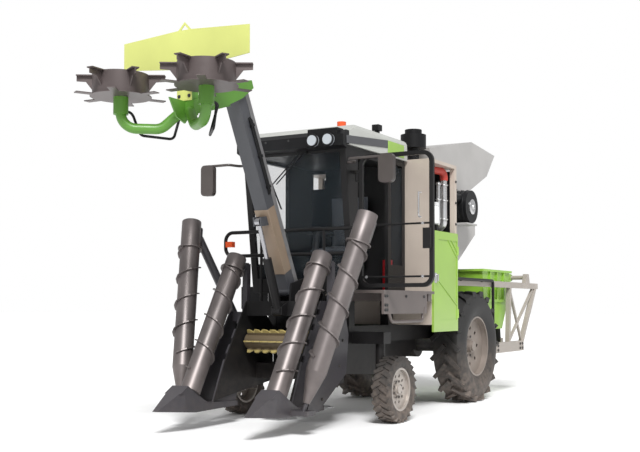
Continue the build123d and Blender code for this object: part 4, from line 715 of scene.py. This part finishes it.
# Mirror faces, on the side towards the driver, in the shape of a rounded box
MIRRORS = [
    # side, forward, across, low, high
    (1, 0.600, 1.170, 2.380, 2.660),
    (-1, 0.520, 1.020, 2.370, 2.700),
]
MIRROR_HALF, MIRROR_RIM, MIRROR_BACK, MIRROR_THICK = 0.066, 0.03, 0.030, 0.003
MIRROR_STEPS, MIRROR_ROUND = 28, 0.5


def mirror_faces(mesh):
    for side, x, y, low, high in MIRRORS:
        middle, tall = (low + high) / 2, high - low - MIRROR_RIM
        outline = []
        for c, s in circle(MIRROR_STEPS):
            across = math.copysign(abs(c) ** MIRROR_ROUND, c) * MIRROR_HALF
            up = math.copysign(abs(s) ** MIRROR_ROUND, s) * tall / 2
            outline.append(at(x - MIRROR_BACK, side * y + across, middle + up))
        plate(mesh, outline, Vector((-MIRROR_THICK, 0, 0)))


piece("mirror_faces", "chassis", "mirror", mirror_faces, 0)

# Bolts on the shield, the landing, the visor, the bay's posts, the carrier, the hood's flange,
# the right panel and the dividers
CARRIER_BOLTS = [(x, z) for x in (-3.30, -3.42, -4.30, -4.40) for z in (0.60, 0.66)]
HOOD_BOLTS = [(-1.86 - 0.155 * k, 2.66) for k in range(6)]
DIVIDER_BOLTS = [(0.60, 1.05), (0.55, 0.85), (0.62, 0.60), (0.95, 0.30), (0.72, 0.85)]
LANDING_BOLTS = [(x, z) for x in (0.26, 0.30) for z in (1.15, 1.20, 1.29)]
LANDING_BOLTS += [(-0.62, 1.29), (-0.18, 1.29)]


def paired(name, size, y, spots):
    """Rows of the same bolts on the left and the right of the fixed frame."""
    rows = []
    for hand, side in SIDES:
        places = [(x, side * y, z) for x, z in spots]
        rows.append((f"{name}_{hand}", "chassis", (0, side, 0), size, places))
    return rows


BOLTS = [
    # name, body, axis, size, places
    ("shield_bolts", "topper_head", (1, 0, 0), 0.013,
     [(2.224, y, z) for y in (-0.055, 0.055) for z in (3.03, 3.12, 3.21)]),
    ("landing_bolts", "chassis", (0, 1, 0), 0.013, [(x, 1.0, z) for x, z in LANDING_BOLTS]),
    ("visor_bolts", "chassis", (1, 0, 0), 0.010, [(0.525, y, 2.885) for y in (-0.55, -0.28, 0.0)]),
    ("post_bolts", "chassis", (0, 1, 0), 0.013,
     [(x, 0.93, z) for x in (-1.67, -1.0) for z in (2.15, 2.40, 2.65)]),
    *paired("carrier_bolts", 0.016, 0.80, CARRIER_BOLTS),
    *paired("hood_bolts", 0.011, 0.60, HOOD_BOLTS),
    ("panel_bolts_right", "chassis", (0, -1, 0), 0.012,
     [(x, -0.955, z) for x in (-1.65, -1.34, -1.02) for z in (0.94, 1.46, 1.99)]),
    *paired("divider_bolts", 0.014, 0.655, DIVIDER_BOLTS),
]
for name, body, axis, size, places in BOLTS:
    piece(name, body, "iron", bolts(axis, size, places), SMALL_EDGE)

# Cab interior: padded seat, column and steering wheel in place of the plain blocks
SEAT_BOXES = [
    ((-0.70, -0.15, 1.362), (-0.42, 0.15, 1.74)),
    ((-0.80, -0.22, 1.735), (-0.31, 0.22, 1.765)),
    ((-0.825, -0.20, 1.76), (-0.79, 0.20, 2.40)),
]
ARMREST_Y, ARMREST_HALF, ARMREST_POST_HALF = 0.235, 0.03, 0.012
for side in (-1, 1):
    y = side * ARMREST_Y
    SEAT_BOXES += [
        ((-0.76, y - ARMREST_HALF, 2.02), (-0.42, y + ARMREST_HALF, 2.065)),
        ((-0.78, y - ARMREST_POST_HALF, 1.76), (-0.74, y + ARMREST_POST_HALF, 2.03)),
    ]
COLUMN_FOOT = ((0.02, -0.06, 1.362), (0.14, 0.06, 1.44))
COLUMN_LOW, COLUMN_TOP, COLUMN_RADIUS = (0.076, 0, 1.40), (-0.06, 0, 1.98), 0.035
WHEEL_HUB, WHEEL_TILT = (-0.06, 0, 1.985), (-0.22, 0, 0.975)
WHEEL_RADIUS, WHEEL_SECTION, SPOKES, SPOKE_REACH, SPOKE_RADIUS = 0.175, 0.014, 3, 0.17, 0.010
PAD_STEPS, PAD_PULL, PULL_SHARE, PAD_CROWN, PAD_DOME = 14, 0.05, 0.3, 0.05, 0.45
CHANNELS, CHANNEL_DEPTH, CHANNEL_WIDTH = 4, 0.16, 0.09


def column(mesh):
    bricks(COLUMN_FOOT)(mesh)
    rod_through(mesh, [at(*COLUMN_LOW), at(*COLUMN_TOP)], COLUMN_RADIUS, 20)
    hub, turn = at(*WHEEL_HUB), turned(WHEEL_TILT)
    ring_shape(mesh, hub, WHEEL_TILT, WHEEL_RADIUS, WHEEL_SECTION, 48)
    for c, s in circle(SPOKES):
        end = turn @ Vector((SPOKE_REACH * c, SPOKE_REACH * s, 0))
        rod_through(mesh, [hub, hub + end], SPOKE_RADIUS)


def cushion(low, high, way):
    """A builder of a crowned and channelled pad between two corners, swollen along one axis."""
    low, high = at(*low), at(*high)
    thick = high[way] - low[way]
    axes = [k for k in range(3) if k != way]

    def pad_point(u, v, swell):
        rise, run = math.sin(math.pi * u), math.sin(math.pi * v)
        pull = PAD_PULL * (rise + run - 1)
        point = Vector((0, 0, 0))
        for axis, share in zip(axes, (u, v)):
            drawn = share + pull * (0.5 - share) * PULL_SHARE
            point[axis] = low[axis] + (high[axis] - low[axis]) * drawn
        dome = (rise * run) ** PAD_DOME
        groove = math.exp(-(((v * CHANNELS) % 1 - 0.5) / CHANNEL_WIDTH) ** 2)
        channel = 1 - CHANNEL_DEPTH * groove * dome
        point[way] = low[way] + swell * (thick - PAD_CROWN + PAD_CROWN * dome * channel)
        return point

    def build(mesh):
        stops = range(PAD_STEPS + 1)
        sheets = []
        for swell in (0.0, 1.0):
            grid = []
            for i in stops:
                row = [pad_point(i / PAD_STEPS, j / PAD_STEPS, swell) for j in stops]
                grid.append([mesh.verts.new(point) for point in row])
            for this, following in zip(grid, grid[1:]):
                for j in range(PAD_STEPS):
                    mesh.faces.new((this[j], following[j], following[j + 1], this[j + 1]))
            rim = [row[0] for row in grid[:-1]] + grid[-1][:-1]
            rim += [row[-1] for row in grid[:0:-1]] + grid[0][:0:-1]
            sheets.append(rim)
        wrap(mesh, *sheets)

    return build


base = piece("seat_frame", "chassis", "black", bricks(*SEAT_BOXES))
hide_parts("cab_interior")
piece("steering_column", "chassis", "black", column, 0)
PADS = [
    # name, low corner, high corner, axis that swells
    ("seat_pad", (-0.79, -0.235, 1.765), (-0.31, 0.235, 1.86), 2),
    ("back_pad", (-0.79, -0.225, 1.87), (-0.715, 0.225, 2.42), 0),
]
for name, low, high, way in PADS:
    pad = piece(name, "chassis", "cloth", cushion(low, high, way), 0)


# Floor, wide enough to meet the white behind it
FLOOR_REACH, FLOOR_WHITE, FLOOR_ROUGHNESS = 120, 0.98, 0.9
floor_data = bpy.data.meshes.new("studio_floor")
ways = ((-1, -1), (1, -1), (1, 1), (-1, 1))
floor_corners = [(x * FLOOR_REACH, y * FLOOR_REACH, 0) for x, y in ways]
floor_data.from_pydata(floor_corners, [], [(0, 1, 2, 3)])
floor = bpy.data.objects.new("studio_floor", floor_data)
scene.collection.objects.link(floor)
floor_look, _, floor_shader = material("studio_floor")
put(floor_shader, {"Base Color": (*[FLOOR_WHITE] * 3, 1), "Roughness": FLOOR_ROUGHNESS})
floor_data.materials.append(floor_look)

# White all round to the eye, and a softer sky for the light
SKY_LIGHT = 0.52
WHITE = (1, 1, 1, 1)
world = bpy.data.worlds.new("studio")
world.use_nodes = True
tree = world.node_tree
sky = tree.nodes["Background"]
put(sky, {"Color": WHITE, "Strength": SKY_LIGHT})
backdrop = tree.nodes.new("ShaderNodeBackground")
put(backdrop, {"Color": WHITE})
seen = tree.nodes.new("ShaderNodeLightPath")
both = tree.nodes.new("ShaderNodeMixShader")
tree.links.new(seen.outputs["Is Camera Ray"], both.inputs["Fac"])
tree.links.new(sky.outputs["Background"], both.inputs[1])
tree.links.new(backdrop.outputs["Background"], both.inputs[2])
tree.links.new(both.outputs["Shader"], tree.nodes["World Output"].inputs["Surface"])
scene.world = world
scene.view_settings.view_transform = "Standard"

# Sun from the front left
KEY_FROM, KEY_DISTANCE = Vector((0.60, 0.40, 0.70)), 12
KEY_POWER, KEY_SPREAD = 3.6, math.radians(18)
key_data = bpy.data.lights.new("key", "SUN")
key_data.energy = KEY_POWER
key_data.angle = KEY_SPREAD
key = bpy.data.objects.new("key", key_data)
key.location = KEY_FROM * KEY_DISTANCE
key.rotation_euler = (-KEY_FROM).to_track_quat("-Z", "Y").to_euler()
scene.collection.objects.link(key)

# Camera, fitted to the photograph
CAMERA_PLACE = (10.177, 5.276, 1.19)
YAW, PITCH = math.radians(28.466), math.radians(1.543)
SENSOR, FOCAL, SHIFT = 36, 55.65, (-0.0594, 0.0833)
level = math.cos(PITCH)
look = Vector((-math.cos(YAW) * level, -math.sin(YAW) * level, math.sin(PITCH)))
lens = bpy.data.cameras.new("photo_camera")
lens.sensor_width = SENSOR
lens.lens = FOCAL
lens.shift_x, lens.shift_y = SHIFT
camera = bpy.data.objects.new("photo_camera", lens)
camera.location = CAMERA_PLACE
camera.rotation_euler = look.to_track_quat("-Z", "Y").to_euler()
scene.collection.objects.link(camera)
scene.camera = camera
